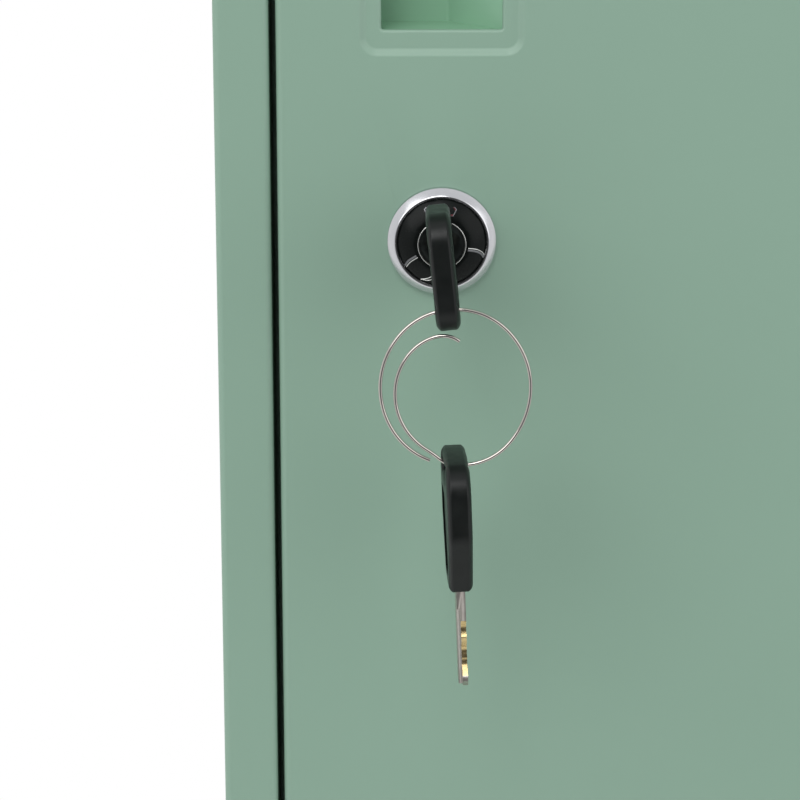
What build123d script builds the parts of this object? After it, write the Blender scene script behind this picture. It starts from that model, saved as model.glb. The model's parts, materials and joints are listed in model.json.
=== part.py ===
from build123d import *
from math import acos, cos, degrees, pi, radians, sin, sqrt
import os

# Single-door clothes locker of folded sheet steel, with a recessed pull and a keyed cam lock.
# Millimetres. X runs along the front from left to right, -Y faces the user, +Z is up.
# The origin is the middle of the footprint, on the floor.

os.makedirs("parts", exist_ok=True)

# Cabinet
locker_width = 380.0
locker_depth = 450.0
locker_height = 1800.0
sheet = 0.8
bend_radius = 1.2
stile_width = 13.2
reveal_depth = 23.0
strike_show = 14.0
rear_flange = 15.0
rail_face = 28.0
header_lip = 12.0
plinth_height = 80.0
plinth_setback = 20.0
plinth_flange = 22.0
sill_return = 40.0
panel_fit = 0.2

# Inside fittings
shelf_space = 290.0
shelf_edge = 25.0
clip_width = 20.0
clip_thickness = 1.5
clip_drop = 16.0
clip_ledge = 7.0
clip_inset = 60.0
clip_tab = 12.0
rail_drop = 62.0
rail_tube_height = 30.0
rail_tube_width = 15.0
rail_tube_wall = 1.2
socket_plate = 2.0
socket_cup = 12.0
socket_wall = 2.2
socket_fit = 0.3
socket_border = 9.0
rail_screw_radius = 2.0
rail_screw_head = 3.6
rivet_radius = 1.6
rivet_head = 3.2
rivet_dome = 1.0
rivet_count = 5
wall_hole_radius = 3.5
wall_hole_spacing = 240.0
wall_hole_drop = 100.0
bolt_radius = 3.0
bolt_head_radius = 5.5
bolt_head_height = 4.0
bolt_nut_height = 5.0
bolt_spacing = 240.0

# Door
door_gap = 1.65
door_gap_hinge = 2.5
door_gap_ends = 2.0
door_thickness = 16.0
door_return = 12.0
pivot_inset = 11.0
pivot_depth = 6.5
stiffener_crown = 40.0
stiffener_foot = 15.0
stiffener_depth = 13.0
stiffener_offset = 20.0
stiffener_end = 150.0
louvre_width = 120.0
louvre_height = 9.0
louvre_stand = 3.2
louvre_lip = 0.8
louvre_pitch = 14.0
louvre_count = 6
louvre_margin = 60.0
buffer_radius = 4.0
buffer_stem = 2.2
buffer_gap = 0.3
buffer_tail = 2.0
buffer_heights = (300.0, 980.0, 1600.0)

# Recessed pull
pull_width = 28.5
pull_height = 84.0
pull_above_lock = 50.2
dish_border = 5.0
dish_border_end = 5.5
dish_depth = 1.0
dish_corner = 4.0
pocket_depth = 15.0
pocket_undercut = 10.0
pocket_floor = 26.0
pocket_flange = 7.0
pocket_bend = 2.0

# Hinge pins
pin_radius = 2.5
pin_fit = 0.06
pin_door_fit = 0.3
bush_radius = 4.0
bush_flange_radius = 5.5
bush_flange = 1.6
bush_length = 9.0
pin_reach = 8.0
bracket_thickness = 1.5
bracket_width = 18.0
bracket_drop = 40.0
bracket_leg = 20.0
pin_tail = 18.0
pin_tail_bend = 5.0
pin_grip = 12.0
pin_head_radius = 3.4
pin_head_height = 2.0
collar_radius = 4.6
collar_thickness = 1.2
spring_wire = 0.7
spring_turns = 6
spring_radius = 3.5
spring_space = 20.0

# Lock
lock_inset = 39.2
lock_height = 879.3
lock_roll = 5.8
bezel_radius = 13.0
bezel_land = 0.65
bezel_rise = 3.4
bezel_round = 1.5
bezel_draft = 0.25
face_radius = 10.6
face_rim = 3.5
face_crown = 5.0
housing_radius = 9.2
housing_flat = 8.2
housing_length = 22.6
housing_flange = 2.4
nut_flats = 24.0
nut_height = 4.0
plug_radius = 5.5
plug_fit = 0.05
plug_disc = 5.85
plug_disc_back = 1.0
plug_front = 5.4
plug_rim = 0.5
plug_dish = 0.5
plug_square = 7.0
cam_gap = 0.8
cam_thickness = 2.0
cam_reach = 36.0
cam_hub = 8.0
cam_tip = 5.5
cam_washer_radius = 6.5
cam_washer = 1.2
cam_screw_radius = 2.0
cam_screw_head = 3.8
cam_screw_head_height = 2.6
cam_screw_tip = 1.0

# Keys
head_length = 32.4
head_width = 28.0
head_thickness = 5.7
head_straight = 17.3
head_foot = 13.2
head_crown = 1.2
head_edge = 1.1
head_corner = 7.0
head_foot_corner = 2.0
head_standoff = 1.6
slot_rim = 1.5
slot_width = 4.5
slot_length = 18.0
slot_edge = 0.6
panel_depth = 0.4
panel_border = 3.0
blade_width = 7.6
blade_thickness = 2.1
blade_tang = 7.0
blade_shank = 4.8
blade_bitted = 19.6
blade_nose = 1.6
blade_groove = 0.85
blade_groove_width = 3.0
keyway_fit = 0.25
bitting = (1.3, 0.5, 2.2, 2.0)
bitting_start = 5.1
bitting_pitch = 2.9
bitting_flat = 1.7
key_lean = 2.1
key_yaw = 2.5

# Key ring
ring_wire = 0.9
ring_half_width = 17.4
ring_half_height = 18.65
ring_step = 0.075
ring_shrink = 0.0014
ring_start = 20.0
ring_end = 545.0
ring_jog_start = 361.0
ring_jog = 25.0
ring_tuck = 0.07
ring_tuck_start = 515.0
ring_seat = 0.4
ring_offset = 1.9
spare_seat = 1.0

# Derived planes and places
front = -locker_depth / 2
back = locker_depth / 2
side = locker_width / 2
stile = side - stile_width
strike_y = front + reveal_depth
cam_y = strike_y + sheet + cam_gap
side_top = locker_height - sheet
inside = side - sheet
panel_x = inside - panel_fit
back_panel_x = inside - bend_radius
back_panel_top = side_top - bend_radius
front_x = stile - panel_fit
strike_x = stile - strike_show
sill_top = plinth_height + rail_face
header_bottom = locker_height - rail_face
back_y = back - 2 * sheet
shelf_z = locker_height - shelf_space
shelf_y = strike_y + sheet + 2
rail_z = shelf_z - rail_drop
door_left = -stile + door_gap
door_right = stile - door_gap_hinge
door_width = door_right - door_left
door_bottom = sill_top + door_gap_ends
door_top = header_bottom - door_gap_ends
door_x = (door_left + door_right) / 2
door_z = (door_bottom + door_top) / 2
door_back = front + door_thickness
skin_back = front + sheet
pivot_x = door_right - pivot_inset
pivot_y = front + pivot_depth
lock_x = door_left + lock_inset
pull_bottom = lock_height + pull_above_lock
pull_z = pull_bottom + pull_height / 2
pull_left = lock_x - pull_width / 2
pull_right = lock_x + pull_width / 2

# A plane on the lock's axis: x across the key, y up it, z towards the user
roll = radians(lock_roll)
lock_plane = Plane(origin=(lock_x, front, lock_height), x_dir=(cos(roll), 0, sin(roll)), z_dir=(0, -1, 0))
housing_plane = Plane(origin=(lock_x, front, lock_height), x_dir=(1, 0, 0), z_dir=(0, -1, 0))


def save(piece, name):
    piece.label = name
    export_step(piece, f"parts/{name}.step")


# Side panels: folded stile, reveal and strike flange at the front, one flange at the back
with BuildPart() as side_panel_left:
    with BuildSketch(Plane.XY.offset(plinth_height)):
        with BuildLine():
            FilletPolyline(
                (-side + rear_flange, back - sheet / 2),
                (-side + sheet / 2, back - sheet / 2),
                (-side + sheet / 2, front + sheet / 2),
                (-stile - sheet / 2, front + sheet / 2),
                (-stile - sheet / 2, strike_y + sheet / 2),
                (-strike_x, strike_y + sheet / 2),
                radius=bend_radius,
            )
        trace(line_width=sheet)
    extrude(amount=side_top - plinth_height)
    # Slots for the shelf clips and holes for the rail sockets
    with BuildSketch(Plane.YZ.offset(-side)):
        with Locations(
            (shelf_y + clip_inset, shelf_z - shelf_edge - clip_drop / 2),
            (back_y - clip_inset, shelf_z - shelf_edge - clip_drop / 2),
        ):
            Rectangle(clip_tab, clip_thickness * 2)
        with Locations((0, rail_z)):
            with GridLocations(0, rail_tube_height + socket_border * 2, 1, 2):
                Circle(rail_screw_radius)
    extrude(amount=sheet, mode=Mode.SUBTRACT)
    # Rivet holes down the rear flange
    with BuildSketch(Plane.XZ.offset(-back)):
        with Locations((-side + rear_flange / 2, (plinth_height + side_top) / 2)):
            with GridLocations(0, (side_top - plinth_height) / rivet_count, 1, rivet_count):
                Circle(rivet_radius)
    extrude(amount=sheet, mode=Mode.SUBTRACT)

with BuildPart() as side_panel_right:
    mirror(side_panel_left.part, about=Plane.YZ)

# The latch side also carries the buffers, through holes in its strike flange
buffer_x = -(stile + strike_x) / 2
with BuildPart() as latch_side:
    add(side_panel_left.part)
    with BuildSketch(Plane.XZ.offset(-strike_y)):
        with Locations([(buffer_x, z) for z in buffer_heights]):
            Circle(buffer_stem)
    extrude(amount=-sheet, mode=Mode.SUBTRACT)
save(latch_side.part, "side_panel_left")
save(side_panel_right.part, "side_panel_right")

# Back panel, riveted inside the rear flanges, with two holes for fixing to a wall
back_z = (plinth_height + side_top) / 2
rivet_pitch = (side_top - plinth_height) / rivet_count
rivet_spread = 2 * (side - rear_flange / 2)
with BuildPart() as back_panel:
    with BuildSketch(Plane.XZ.offset(-back + sheet)):
        with Locations((0, plinth_height)):
            Rectangle(2 * back_panel_x, back_panel_top - plinth_height, align=(Align.CENTER, Align.MIN))
        with Locations((0, back_z)):
            with GridLocations(rivet_spread, rivet_pitch, 2, rivet_count):
                Circle(rivet_radius, mode=Mode.SUBTRACT)
        with Locations((0, side_top - wall_hole_drop)):
            with GridLocations(wall_hole_spacing, 0, 2, 1):
                Circle(wall_hole_radius, mode=Mode.SUBTRACT)
    extrude(amount=sheet)
save(back_panel.part, "back_panel")

with BuildPart() as back_rivets:
    with Locations(Plane.XZ.offset(-back)):
        with Locations((0, back_z)):
            with GridLocations(rivet_spread, rivet_pitch, 2, rivet_count):
                Cylinder(rivet_radius, 2 * sheet, align=(Align.CENTER, Align.CENTER, Align.MIN))
                Cylinder(rivet_head, rivet_dome, align=(Align.CENTER, Align.CENTER, Align.MAX))
    fillet(back_rivets.faces().sort_by(Axis.Y)[-2 * rivet_count:].edges(), rivet_dome * 0.8)
save(back_rivets.part, "back_rivets")

# Top panel: one sheet folded down into the header, its reveal and its lip
with BuildPart() as top_panel:
    with BuildSketch(Plane.YZ.offset(-side)):
        with BuildLine():
            FilletPolyline(
                (back - sheet / 2, side_top - rear_flange),
                (back - sheet / 2, locker_height - sheet / 2),
                (front + sheet / 2, locker_height - sheet / 2),
                (front + sheet / 2, header_bottom + sheet / 2),
                (strike_y + sheet / 2, header_bottom + sheet / 2),
                (strike_y + sheet / 2, header_bottom - header_lip),
                radius=bend_radius,
            )
        trace(line_width=sheet)
    extrude(amount=locker_width)
    # The header fits between the stiles, its lip between the strike flanges
    with BuildSketch(Plane.XZ.offset(-strike_y)):
        with Locations((0, side_top)):
            Rectangle(2 * locker_width, rail_face * 2, align=(Align.CENTER, Align.MAX))
            Rectangle(2 * front_x, rail_face * 2, align=(Align.CENTER, Align.MAX), mode=Mode.SUBTRACT)
    extrude(amount=2 * reveal_depth, mode=Mode.SUBTRACT)
    with BuildSketch(Plane.XZ.offset(-strike_y - 2 * sheet)):
        with Locations((0, side_top)):
            Rectangle(2 * locker_width, rail_face * 2, align=(Align.CENTER, Align.MAX))
            Rectangle(
                2 * (strike_x - panel_fit), rail_face * 2, align=(Align.CENTER, Align.MAX), mode=Mode.SUBTRACT
            )
    extrude(amount=2 * sheet + bend_radius, mode=Mode.SUBTRACT)
    # The rear flange fits between the flanges of the sides
    with BuildSketch(Plane.XZ.offset(-back)):
        with Locations((0, side_top)):
            Rectangle(2 * locker_width, rear_flange * 2, align=(Align.CENTER, Align.MAX))
            Rectangle(
                2 * (side - rear_flange - panel_fit),
                rear_flange * 2,
                align=(Align.CENTER, Align.MAX),
                mode=Mode.SUBTRACT,
            )
    extrude(amount=2 * bend_radius, mode=Mode.SUBTRACT)
    # Hole for the upper hinge bush
    with Locations((pivot_x, pivot_y, header_bottom)):
        Cylinder(bush_radius, 4 * sheet, mode=Mode.SUBTRACT)
save(top_panel.part, "top_panel")

# Base panel: the floor, folded down into the sill and back over the plinth
bolt_front_y = front + plinth_setback + plinth_flange / 2
bolt_back_y = back_y - panel_fit - plinth_flange / 2
bolt_places = [(x, y) for x in (-bolt_spacing / 2, bolt_spacing / 2) for y in (bolt_front_y, bolt_back_y)]
with BuildPart() as base_panel:
    with BuildSketch(Plane.YZ.offset(-panel_x)):
        with BuildLine():
            FilletPolyline(
                (back_y - panel_fit - plinth_flange, plinth_height + sheet / 2),
                (back_y - panel_fit - sheet / 2, plinth_height + sheet / 2),
                (back_y - panel_fit - sheet / 2, sill_top - sheet / 2),
                (front + sheet / 2, sill_top - sheet / 2),
                (front + sheet / 2, plinth_height + sheet / 2),
                (front + sill_return, plinth_height + sheet / 2),
                radius=bend_radius,
            )
        trace(line_width=sheet)
    extrude(amount=2 * panel_x)
    # Side flanges, behind the strike flanges
    flange_front = strike_y + sheet + panel_fit
    for edge_x, edge_align in ((-panel_x, Align.MIN), (panel_x, Align.MAX)):
        with Locations((edge_x, flange_front, plinth_height)):
            Box(
                sheet,
                back_y - panel_fit - flange_front,
                rail_face - sheet / 2,
                align=(edge_align, Align.MIN, Align.MIN),
            )
    # The sill fits between the stiles, and the floor is notched round the strike flanges
    with BuildSketch(Plane.XY.offset(plinth_height)):
        with Locations((0, flange_front)):
            Rectangle(2 * locker_width, 2 * reveal_depth, align=(Align.CENTER, Align.MAX))
            Rectangle(2 * front_x, 2 * reveal_depth, align=(Align.CENTER, Align.MAX), mode=Mode.SUBTRACT)
            Rectangle(2 * locker_width, sheet + panel_fit + bend_radius, align=(Align.CENTER, Align.MAX))
            Rectangle(
                2 * (strike_x - panel_fit),
                2 * reveal_depth,
                align=(Align.CENTER, Align.MAX),
                mode=Mode.SUBTRACT,
            )
    extrude(amount=2 * rail_face, mode=Mode.SUBTRACT)
    with Locations((pivot_x, pivot_y, sill_top)):
        Cylinder(bush_radius, 4 * sheet, mode=Mode.SUBTRACT)
    with Locations([(x, y, plinth_height) for x, y in bolt_places]):
        Cylinder(bolt_radius, 4 * sheet, mode=Mode.SUBTRACT)
save(base_panel.part, "base_panel")

# Plinth: a ring of channel section, set back for the toes
with BuildPart() as plinth:
    with BuildSketch() as plinth_plan:
        with Locations((0, plinth_setback / 2)):
            Rectangle(locker_width, locker_depth - plinth_setback)
    extrude(amount=plinth_height)
    fillet(plinth.edges().filter_by(Axis.Z), bend_radius + sheet / 2)
    with BuildSketch(Plane.XY.offset(sheet)):
        add(plinth_plan.sketch)
        offset(amount=-sheet, mode=Mode.REPLACE)
    extrude(amount=plinth_height - 2 * sheet, mode=Mode.SUBTRACT)
    with BuildSketch():
        add(plinth_plan.sketch)
        offset(amount=-plinth_flange, mode=Mode.REPLACE)
    extrude(amount=plinth_height, mode=Mode.SUBTRACT)
    with Locations([(x, y, plinth_height) for x, y in bolt_places]):
        Cylinder(bolt_radius, 4 * sheet, mode=Mode.SUBTRACT)
save(plinth.part, "plinth")

# Bolts from under the plinth's flange, and their nuts on the base panel's flanges
bolt_bottom = plinth_height - sheet - bolt_head_height
with BuildPart() as plinth_bolts:
    with BuildSketch(Plane.XY.offset(bolt_bottom)):
        with Locations(bolt_places):
            RegularPolygon(bolt_head_radius, 6)
    extrude(amount=bolt_head_height)
    with BuildSketch(Plane.XY.offset(bolt_bottom)):
        with Locations(bolt_places):
            Circle(bolt_radius)
    extrude(amount=bolt_head_height + 2 * sheet + bolt_nut_height + bolt_radius)
save(plinth_bolts.part, "plinth_bolts")

with BuildPart() as plinth_nuts:
    with BuildSketch(Plane.XY.offset(plinth_height + sheet)):
        with Locations(bolt_places):
            RegularPolygon(bolt_head_radius, 6)
            Circle(bolt_radius, mode=Mode.SUBTRACT)
    extrude(amount=bolt_nut_height)
save(plinth_nuts.part, "plinth_nuts")

# Hat shelf: a shallow pan, open below
shelf_back = back_y - panel_fit
shelf_x = inside - 3 * panel_fit
with BuildPart() as hat_shelf:
    with BuildSketch(Plane.XY.offset(shelf_z)):
        with Locations((0, (shelf_y + shelf_back) / 2)):
            Rectangle(2 * shelf_x, shelf_back - shelf_y)
    extrude(amount=-shelf_edge)
    fillet(hat_shelf.edges().filter_by(Axis.Z), bend_radius + sheet / 2)
    fillet(hat_shelf.faces().sort_by(Axis.Z)[-1].edges(), bend_radius + sheet / 2)
    offset(amount=-sheet, openings=hat_shelf.faces().sort_by(Axis.Z)[0])
save(hat_shelf.part, "hat_shelf")

# Shelf clips: angles hooked into the side panels, their ledges under the shelf's edge
ledge_z = shelf_z - shelf_edge
clip_ys = (shelf_y + clip_inset, back_y - clip_inset)
with BuildPart() as clips_left:
    for clip_y in clip_ys:
        with BuildSketch(Plane.XZ.offset(-clip_y - clip_width / 2)):
            with BuildLine():
                FilletPolyline(
                    (-inside + clip_thickness / 2, ledge_z - clip_drop),
                    (-inside + clip_thickness / 2, ledge_z - clip_thickness / 2),
                    (-inside + clip_ledge, ledge_z - clip_thickness / 2),
                    radius=clip_thickness,
                )
            trace(line_width=clip_thickness)
        extrude(amount=clip_width)
        with Locations((-inside, clip_y, ledge_z - clip_drop / 2)):
            Box(
                sheet,
                clip_tab - 2 * panel_fit,
                2 * clip_thickness - 2 * panel_fit,
                align=(Align.MAX, Align.CENTER, Align.CENTER),
            )
with BuildPart() as shelf_clips:
    add(clips_left.part)
    mirror(clips_left.part, about=Plane.YZ)
save(shelf_clips.part, "shelf_clips")

# Hanging rail: an oval tube that drops into an open cup on each side
cup_back = inside - socket_plate
with BuildPart() as hanging_rail:
    with BuildSketch(Plane.YZ.offset(-cup_back)):
        with Locations((0, rail_z)):
            SlotOverall(rail_tube_height, rail_tube_width, rotation=90)
            SlotOverall(
                rail_tube_height - 2 * rail_tube_wall,
                rail_tube_width - 2 * rail_tube_wall,
                rotation=90,
                mode=Mode.SUBTRACT,
            )
    extrude(amount=2 * cup_back)
save(hanging_rail.part, "hanging_rail")

screw_pitch = rail_tube_height + 2 * socket_border
cup_gap = rail_tube_width + 2 * socket_fit
with BuildPart() as rail_socket_left:
    with BuildSketch(Plane.YZ.offset(-inside)):
        with Locations((0, rail_z)):
            RectangleRounded(cup_gap + 2 * socket_border, screw_pitch + 2 * socket_border, socket_border / 2)
            with GridLocations(0, screw_pitch, 1, 2):
                Circle(rail_screw_radius, mode=Mode.SUBTRACT)
    extrude(amount=socket_plate)
    with BuildSketch(Plane.YZ.offset(-cup_back)):
        with Locations((0, rail_z)):
            SlotOverall(
                rail_tube_height + 2 * (socket_fit + socket_wall), cup_gap + 2 * socket_wall, rotation=90
            )
            SlotOverall(rail_tube_height + 2 * socket_fit, cup_gap, rotation=90, mode=Mode.SUBTRACT)
            Rectangle(
                cup_gap, rail_tube_height, align=(Align.CENTER, Align.MIN), mode=Mode.SUBTRACT
            )
    extrude(amount=socket_cup)
save(rail_socket_left.part, "rail_socket_left")

with BuildPart() as rail_socket_right:
    mirror(rail_socket_left.part, about=Plane.YZ)
save(rail_socket_right.part, "rail_socket_right")

with BuildPart() as screws_left:
    with BuildSketch(Plane.YZ.offset(-side)):
        with Locations((0, rail_z)):
            with GridLocations(0, screw_pitch, 1, 2):
                Circle(rail_screw_radius)
    extrude(amount=sheet + socket_plate)
    with BuildSketch(Plane.YZ.offset(-cup_back)):
        with Locations((0, rail_z)):
            with GridLocations(0, screw_pitch, 1, 2):
                Circle(rail_screw_head)
    extrude(amount=rail_screw_head / 2)
    fillet(screws_left.faces().sort_by(Axis.X)[-2:].edges(), rail_screw_head / 4)
with BuildPart() as rail_screws:
    add(screws_left.part)
    mirror(screws_left.part, about=Plane.YZ)
save(rail_screws.part, "rail_screws")

# Rubber buffers: a head that the door meets, and a stem with a barb behind the flange
with BuildPart() as door_buffers:
    for buffer_z in buffer_heights:
        with BuildSketch(Plane((buffer_x, strike_y, buffer_z), x_dir=(1, 0, 0), z_dir=(0, 0, 1))):
            with BuildLine():
                Polyline(
                    (0, -(reveal_depth - door_thickness - buffer_gap)),
                    (buffer_radius * 0.7, -(reveal_depth - door_thickness - buffer_gap)),
                    (buffer_radius, 0),
                    (buffer_stem, 0),
                    (buffer_stem, sheet),
                    (buffer_stem + buffer_tail / 2, sheet),
                    (buffer_stem / 2, sheet + buffer_tail),
                    (0, sheet + buffer_tail),
                    close=True,
                )
            make_face()
        revolve(axis=Axis((buffer_x, strike_y, buffer_z), (0, 1, 0)))
save(door_buffers.part, "door_buffers")

# Hinge bushes: flanged nylon sleeves in the sill and the header, around the pins
bush_rise = bush_length - bush_flange
for name, seat_z, grows in (("hinge_bush_bottom", sill_top, 1), ("hinge_bush_top", header_bottom, -1)):
    with BuildPart() as hinge_bush:
        with BuildSketch(Plane((pivot_x, pivot_y, seat_z), x_dir=(1, 0, 0), z_dir=(0, -1, 0))):
            with BuildLine():
                Polyline(
                    (pin_radius + pin_fit, grows * bush_flange),
                    (bush_flange_radius, grows * bush_flange),
                    (bush_flange_radius, 0),
                    (bush_radius, 0),
                    (bush_radius, -grows * bush_rise),
                    (pin_radius + pin_fit, -grows * bush_rise),
                    close=True,
                )
            make_face()
        revolve(axis=Axis((pivot_x, pivot_y, seat_z), (0, 0, 1)))
    save(hinge_bush.part, name)

# Door skin: a pan with returned edges, a pressed dish round the pull, and louvres
dish_width = pull_width + 2 * dish_border
dish_height = pull_height + 2 * dish_border_end
door_height = door_top - door_bottom
louvre_rows = [
    z + louvre_pitch * row
    for z in (
        door_bottom + louvre_margin,
        door_top - louvre_margin - louvre_pitch * (louvre_count - 1) - louvre_height,
    )
    for row in range(louvre_count)
]
with BuildPart() as door_skin:
    with BuildSketch(Plane.XZ.offset(-front)):
        with Locations((door_x, door_z)):
            Rectangle(door_width, door_height)
    extrude(amount=-door_thickness)
    fillet(door_skin.edges().filter_by(Axis.Y), bend_radius + sheet / 2)
    fillet(door_skin.faces().sort_by(Axis.Y)[0].edges(), bend_radius + sheet / 2)
    offset(amount=-sheet, openings=door_skin.faces().sort_by(Axis.Y)[-1])
    with BuildSketch(Plane.XZ.offset(-door_back)):
        with Locations((door_x, door_z)):
            Rectangle(door_width - sheet, door_height - sheet)
            Rectangle(door_width - 2 * door_return, door_height - 2 * door_return, mode=Mode.SUBTRACT)
    extrude(amount=sheet)
    # The dish is pressed back by its depth, and the opening is cut in its floor
    with BuildSketch(Plane.XZ.offset(-skin_back)):
        with Locations((lock_x, pull_z)):
            RectangleRounded(dish_width + 2 * sheet, dish_height + 2 * sheet, dish_corner + sheet)
    extrude(amount=-dish_depth)
    with BuildSketch(Plane.XZ.offset(-front)):
        with Locations((lock_x, pull_z)):
            RectangleRounded(dish_width, dish_height, dish_corner)
    extrude(amount=-dish_depth, taper=45, mode=Mode.SUBTRACT)
    with BuildSketch(Plane.XZ.offset(-front)):
        with Locations((lock_x, pull_z)):
            Rectangle(pull_width, pull_height)
    extrude(amount=-dish_depth - 2 * sheet, mode=Mode.SUBTRACT)
    # Hole for the lock, with two flats that stop it turning
    with BuildSketch(housing_plane):
        Circle(housing_radius)
        Rectangle(2 * housing_flat, 2 * housing_radius, mode=Mode.INTERSECT)
    extrude(amount=-sheet, mode=Mode.SUBTRACT)
    # Holes for the pins
    with Locations((pivot_x, pivot_y, door_top)):
        Cylinder(pin_radius + pin_door_fit, 4 * sheet, mode=Mode.SUBTRACT)
    with Locations((pivot_x, pivot_y, door_bottom)):
        Cylinder(pin_radius, 4 * sheet, mode=Mode.SUBTRACT)
    # Louvres: hoods pressed outwards, open below
    for louvre_z in louvre_rows:
        with BuildSketch(Plane.YZ.offset(door_x - louvre_width / 2)):
            with BuildLine():
                Polyline(
                    (front, louvre_z + louvre_height),
                    (front - louvre_stand, louvre_z + louvre_lip),
                    (front - louvre_stand, louvre_z),
                    (skin_back, louvre_z),
                    (skin_back, louvre_z + louvre_height),
                    close=True,
                )
            make_face()
        extrude(amount=louvre_width)
        with BuildSketch(Plane.YZ.offset(door_x - louvre_width / 2 + sheet)):
            with BuildLine():
                Polyline(
                    (skin_back, louvre_z + louvre_height - 2 * sheet),
                    (front, louvre_z + louvre_height - 3 * sheet),
                    (front - louvre_stand + sheet, louvre_z + louvre_lip),
                    (front - louvre_stand + sheet, louvre_z),
                    (skin_back, louvre_z),
                    close=True,
                )
            make_face()
        extrude(amount=louvre_width - 2 * sheet, mode=Mode.SUBTRACT)
save(door_skin.part, "door_skin")

# Pocket behind the pull: a deep floor under the left edge, and a ramp on the right
dish_back = skin_back + dish_depth
pad_left = lock_x - dish_width / 2 - sheet
pocket_left = pull_left - pocket_undercut
pocket_y = front + pocket_depth + sheet / 2
ramp_top = (pull_right + sheet, dish_back + sheet / 2)
wall_foot = (pocket_left, skin_back + sheet / 2)
floor_end = (pocket_left + pocket_floor, pocket_y)
with BuildPart() as handle_pocket:
    with BuildSketch(Plane.XY.offset(pull_bottom - sheet)):
        with BuildLine():
            FilletPolyline(
                (pocket_left - pocket_flange, skin_back + sheet / 2),
                wall_foot,
                (pocket_left, pocket_y),
                floor_end,
                ramp_top,
                (pull_right + dish_border, dish_back + sheet / 2),
                radius=(bend_radius, pocket_bend, pocket_bend, bend_radius),
            )
        trace(line_width=sheet)
    extrude(amount=pull_height + 2 * sheet)
    # End walls above and below the opening
    with BuildSketch(Plane.XY.offset(pull_bottom - sheet), Plane.XY.offset(pull_bottom + pull_height)):
        with BuildLine():
            FilletPolyline(
                wall_foot,
                (pocket_left, pocket_y),
                floor_end,
                ramp_top,
                radius=pocket_bend,
            )
            Polyline(
                ramp_top,
                (pull_right + sheet, dish_back),
                (pad_left, dish_back),
                (pad_left, skin_back + sheet / 2),
                wall_foot,
            )
        make_face()
    extrude(amount=sheet)
save(handle_pocket.part, "handle_pocket")

# Stiffener: a hat channel welded up the back of the skin
stiffener_x = door_x + stiffener_offset
crown = stiffener_crown / 2
with BuildPart() as door_stiffener:
    with BuildSketch(Plane.XY.offset(door_bottom + stiffener_end)):
        with BuildLine():
            FilletPolyline(
                (stiffener_x - crown - stiffener_foot, skin_back + sheet / 2),
                (stiffener_x - crown, skin_back + sheet / 2),
                (stiffener_x - crown, skin_back + stiffener_depth),
                (stiffener_x + crown, skin_back + stiffener_depth),
                (stiffener_x + crown, skin_back + sheet / 2),
                (stiffener_x + crown + stiffener_foot, skin_back + sheet / 2),
                radius=bend_radius,
            )
        trace(line_width=sheet)
    extrude(amount=door_height - 2 * stiffener_end)
save(door_stiffener.part, "door_stiffener")

# Brackets that hold the hinge pins inside the door
bracket_reach = door_thickness - 3 * sheet
bracket_top_z = door_top - bracket_drop
bracket_bottom_z = door_bottom + sheet + bracket_thickness
for name, plate_z, leg, hole in (
    ("hinge_bracket_top", bracket_top_z, -1, pin_radius + pin_door_fit),
    ("hinge_bracket_bottom", bracket_bottom_z, 1, pin_radius),
):
    with BuildPart() as hinge_bracket:
        plate_mid = plate_z - bracket_thickness / 2
        with BuildSketch(Plane.YZ.offset(pivot_x - bracket_width / 2)):
            with BuildLine():
                FilletPolyline(
                    (skin_back + bracket_thickness / 2, plate_mid + leg * bracket_leg),
                    (skin_back + bracket_thickness / 2, plate_mid),
                    (skin_back + bracket_reach, plate_mid),
                    radius=bracket_thickness,
                )
            trace(line_width=bracket_thickness)
        extrude(amount=bracket_width)
        with Locations((pivot_x, pivot_y, plate_z)):
            Cylinder(hole, 3 * bracket_thickness, mode=Mode.SUBTRACT)
    save(hinge_bracket.part, name)

# Lower hinge pin, fixed in its bracket
with BuildPart() as hinge_pin_bottom:
    with BuildSketch(Plane.XY.offset(sill_top - pin_reach)):
        with Locations((pivot_x, pivot_y)):
            Circle(pin_radius)
    extrude(amount=pin_reach + bracket_bottom_z - sill_top)
    with BuildSketch(Plane.XY.offset(bracket_bottom_z)):
        with Locations((pivot_x, pivot_y)):
            Circle(pin_head_radius)
    extrude(amount=pin_head_height)
    chamfer(hinge_pin_bottom.faces().sort_by(Axis.Z)[0].edges(), pin_radius / 4)
    fillet(hinge_pin_bottom.faces().sort_by(Axis.Z)[-1].edges(), pin_head_height / 2)
save(hinge_pin_bottom.part, "hinge_pin_bottom")

# Upper hinge pin: a sprung rod with a bent grip, drawn down to lift the door out
pin_top_z = header_bottom + pin_reach
tail_z = bracket_top_z - bracket_thickness - pin_tail
with BuildPart() as hinge_pin_top:
    with BuildLine():
        FilletPolyline(
            (pivot_x, pivot_y, pin_top_z),
            (pivot_x, pivot_y, tail_z),
            (pivot_x - pin_tail_bend - pin_grip, pivot_y, tail_z),
            radius=pin_tail_bend,
        )
    with BuildSketch(Plane((pivot_x, pivot_y, pin_top_z), x_dir=(1, 0, 0), z_dir=(0, 0, -1))):
        Circle(pin_radius)
    sweep()
    chamfer(hinge_pin_top.faces().sort_by(Axis.Z)[-1].edges(), pin_radius / 4)
save(hinge_pin_top.part, "hinge_pin_top")

collar_z = bracket_top_z + spring_space
with BuildPart() as pin_collar:
    with BuildSketch(Plane.XY.offset(collar_z)):
        with Locations((pivot_x, pivot_y)):
            Circle(collar_radius)
            Circle(pin_radius, mode=Mode.SUBTRACT)
    extrude(amount=collar_thickness)
save(pin_collar.part, "pin_collar")


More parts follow.
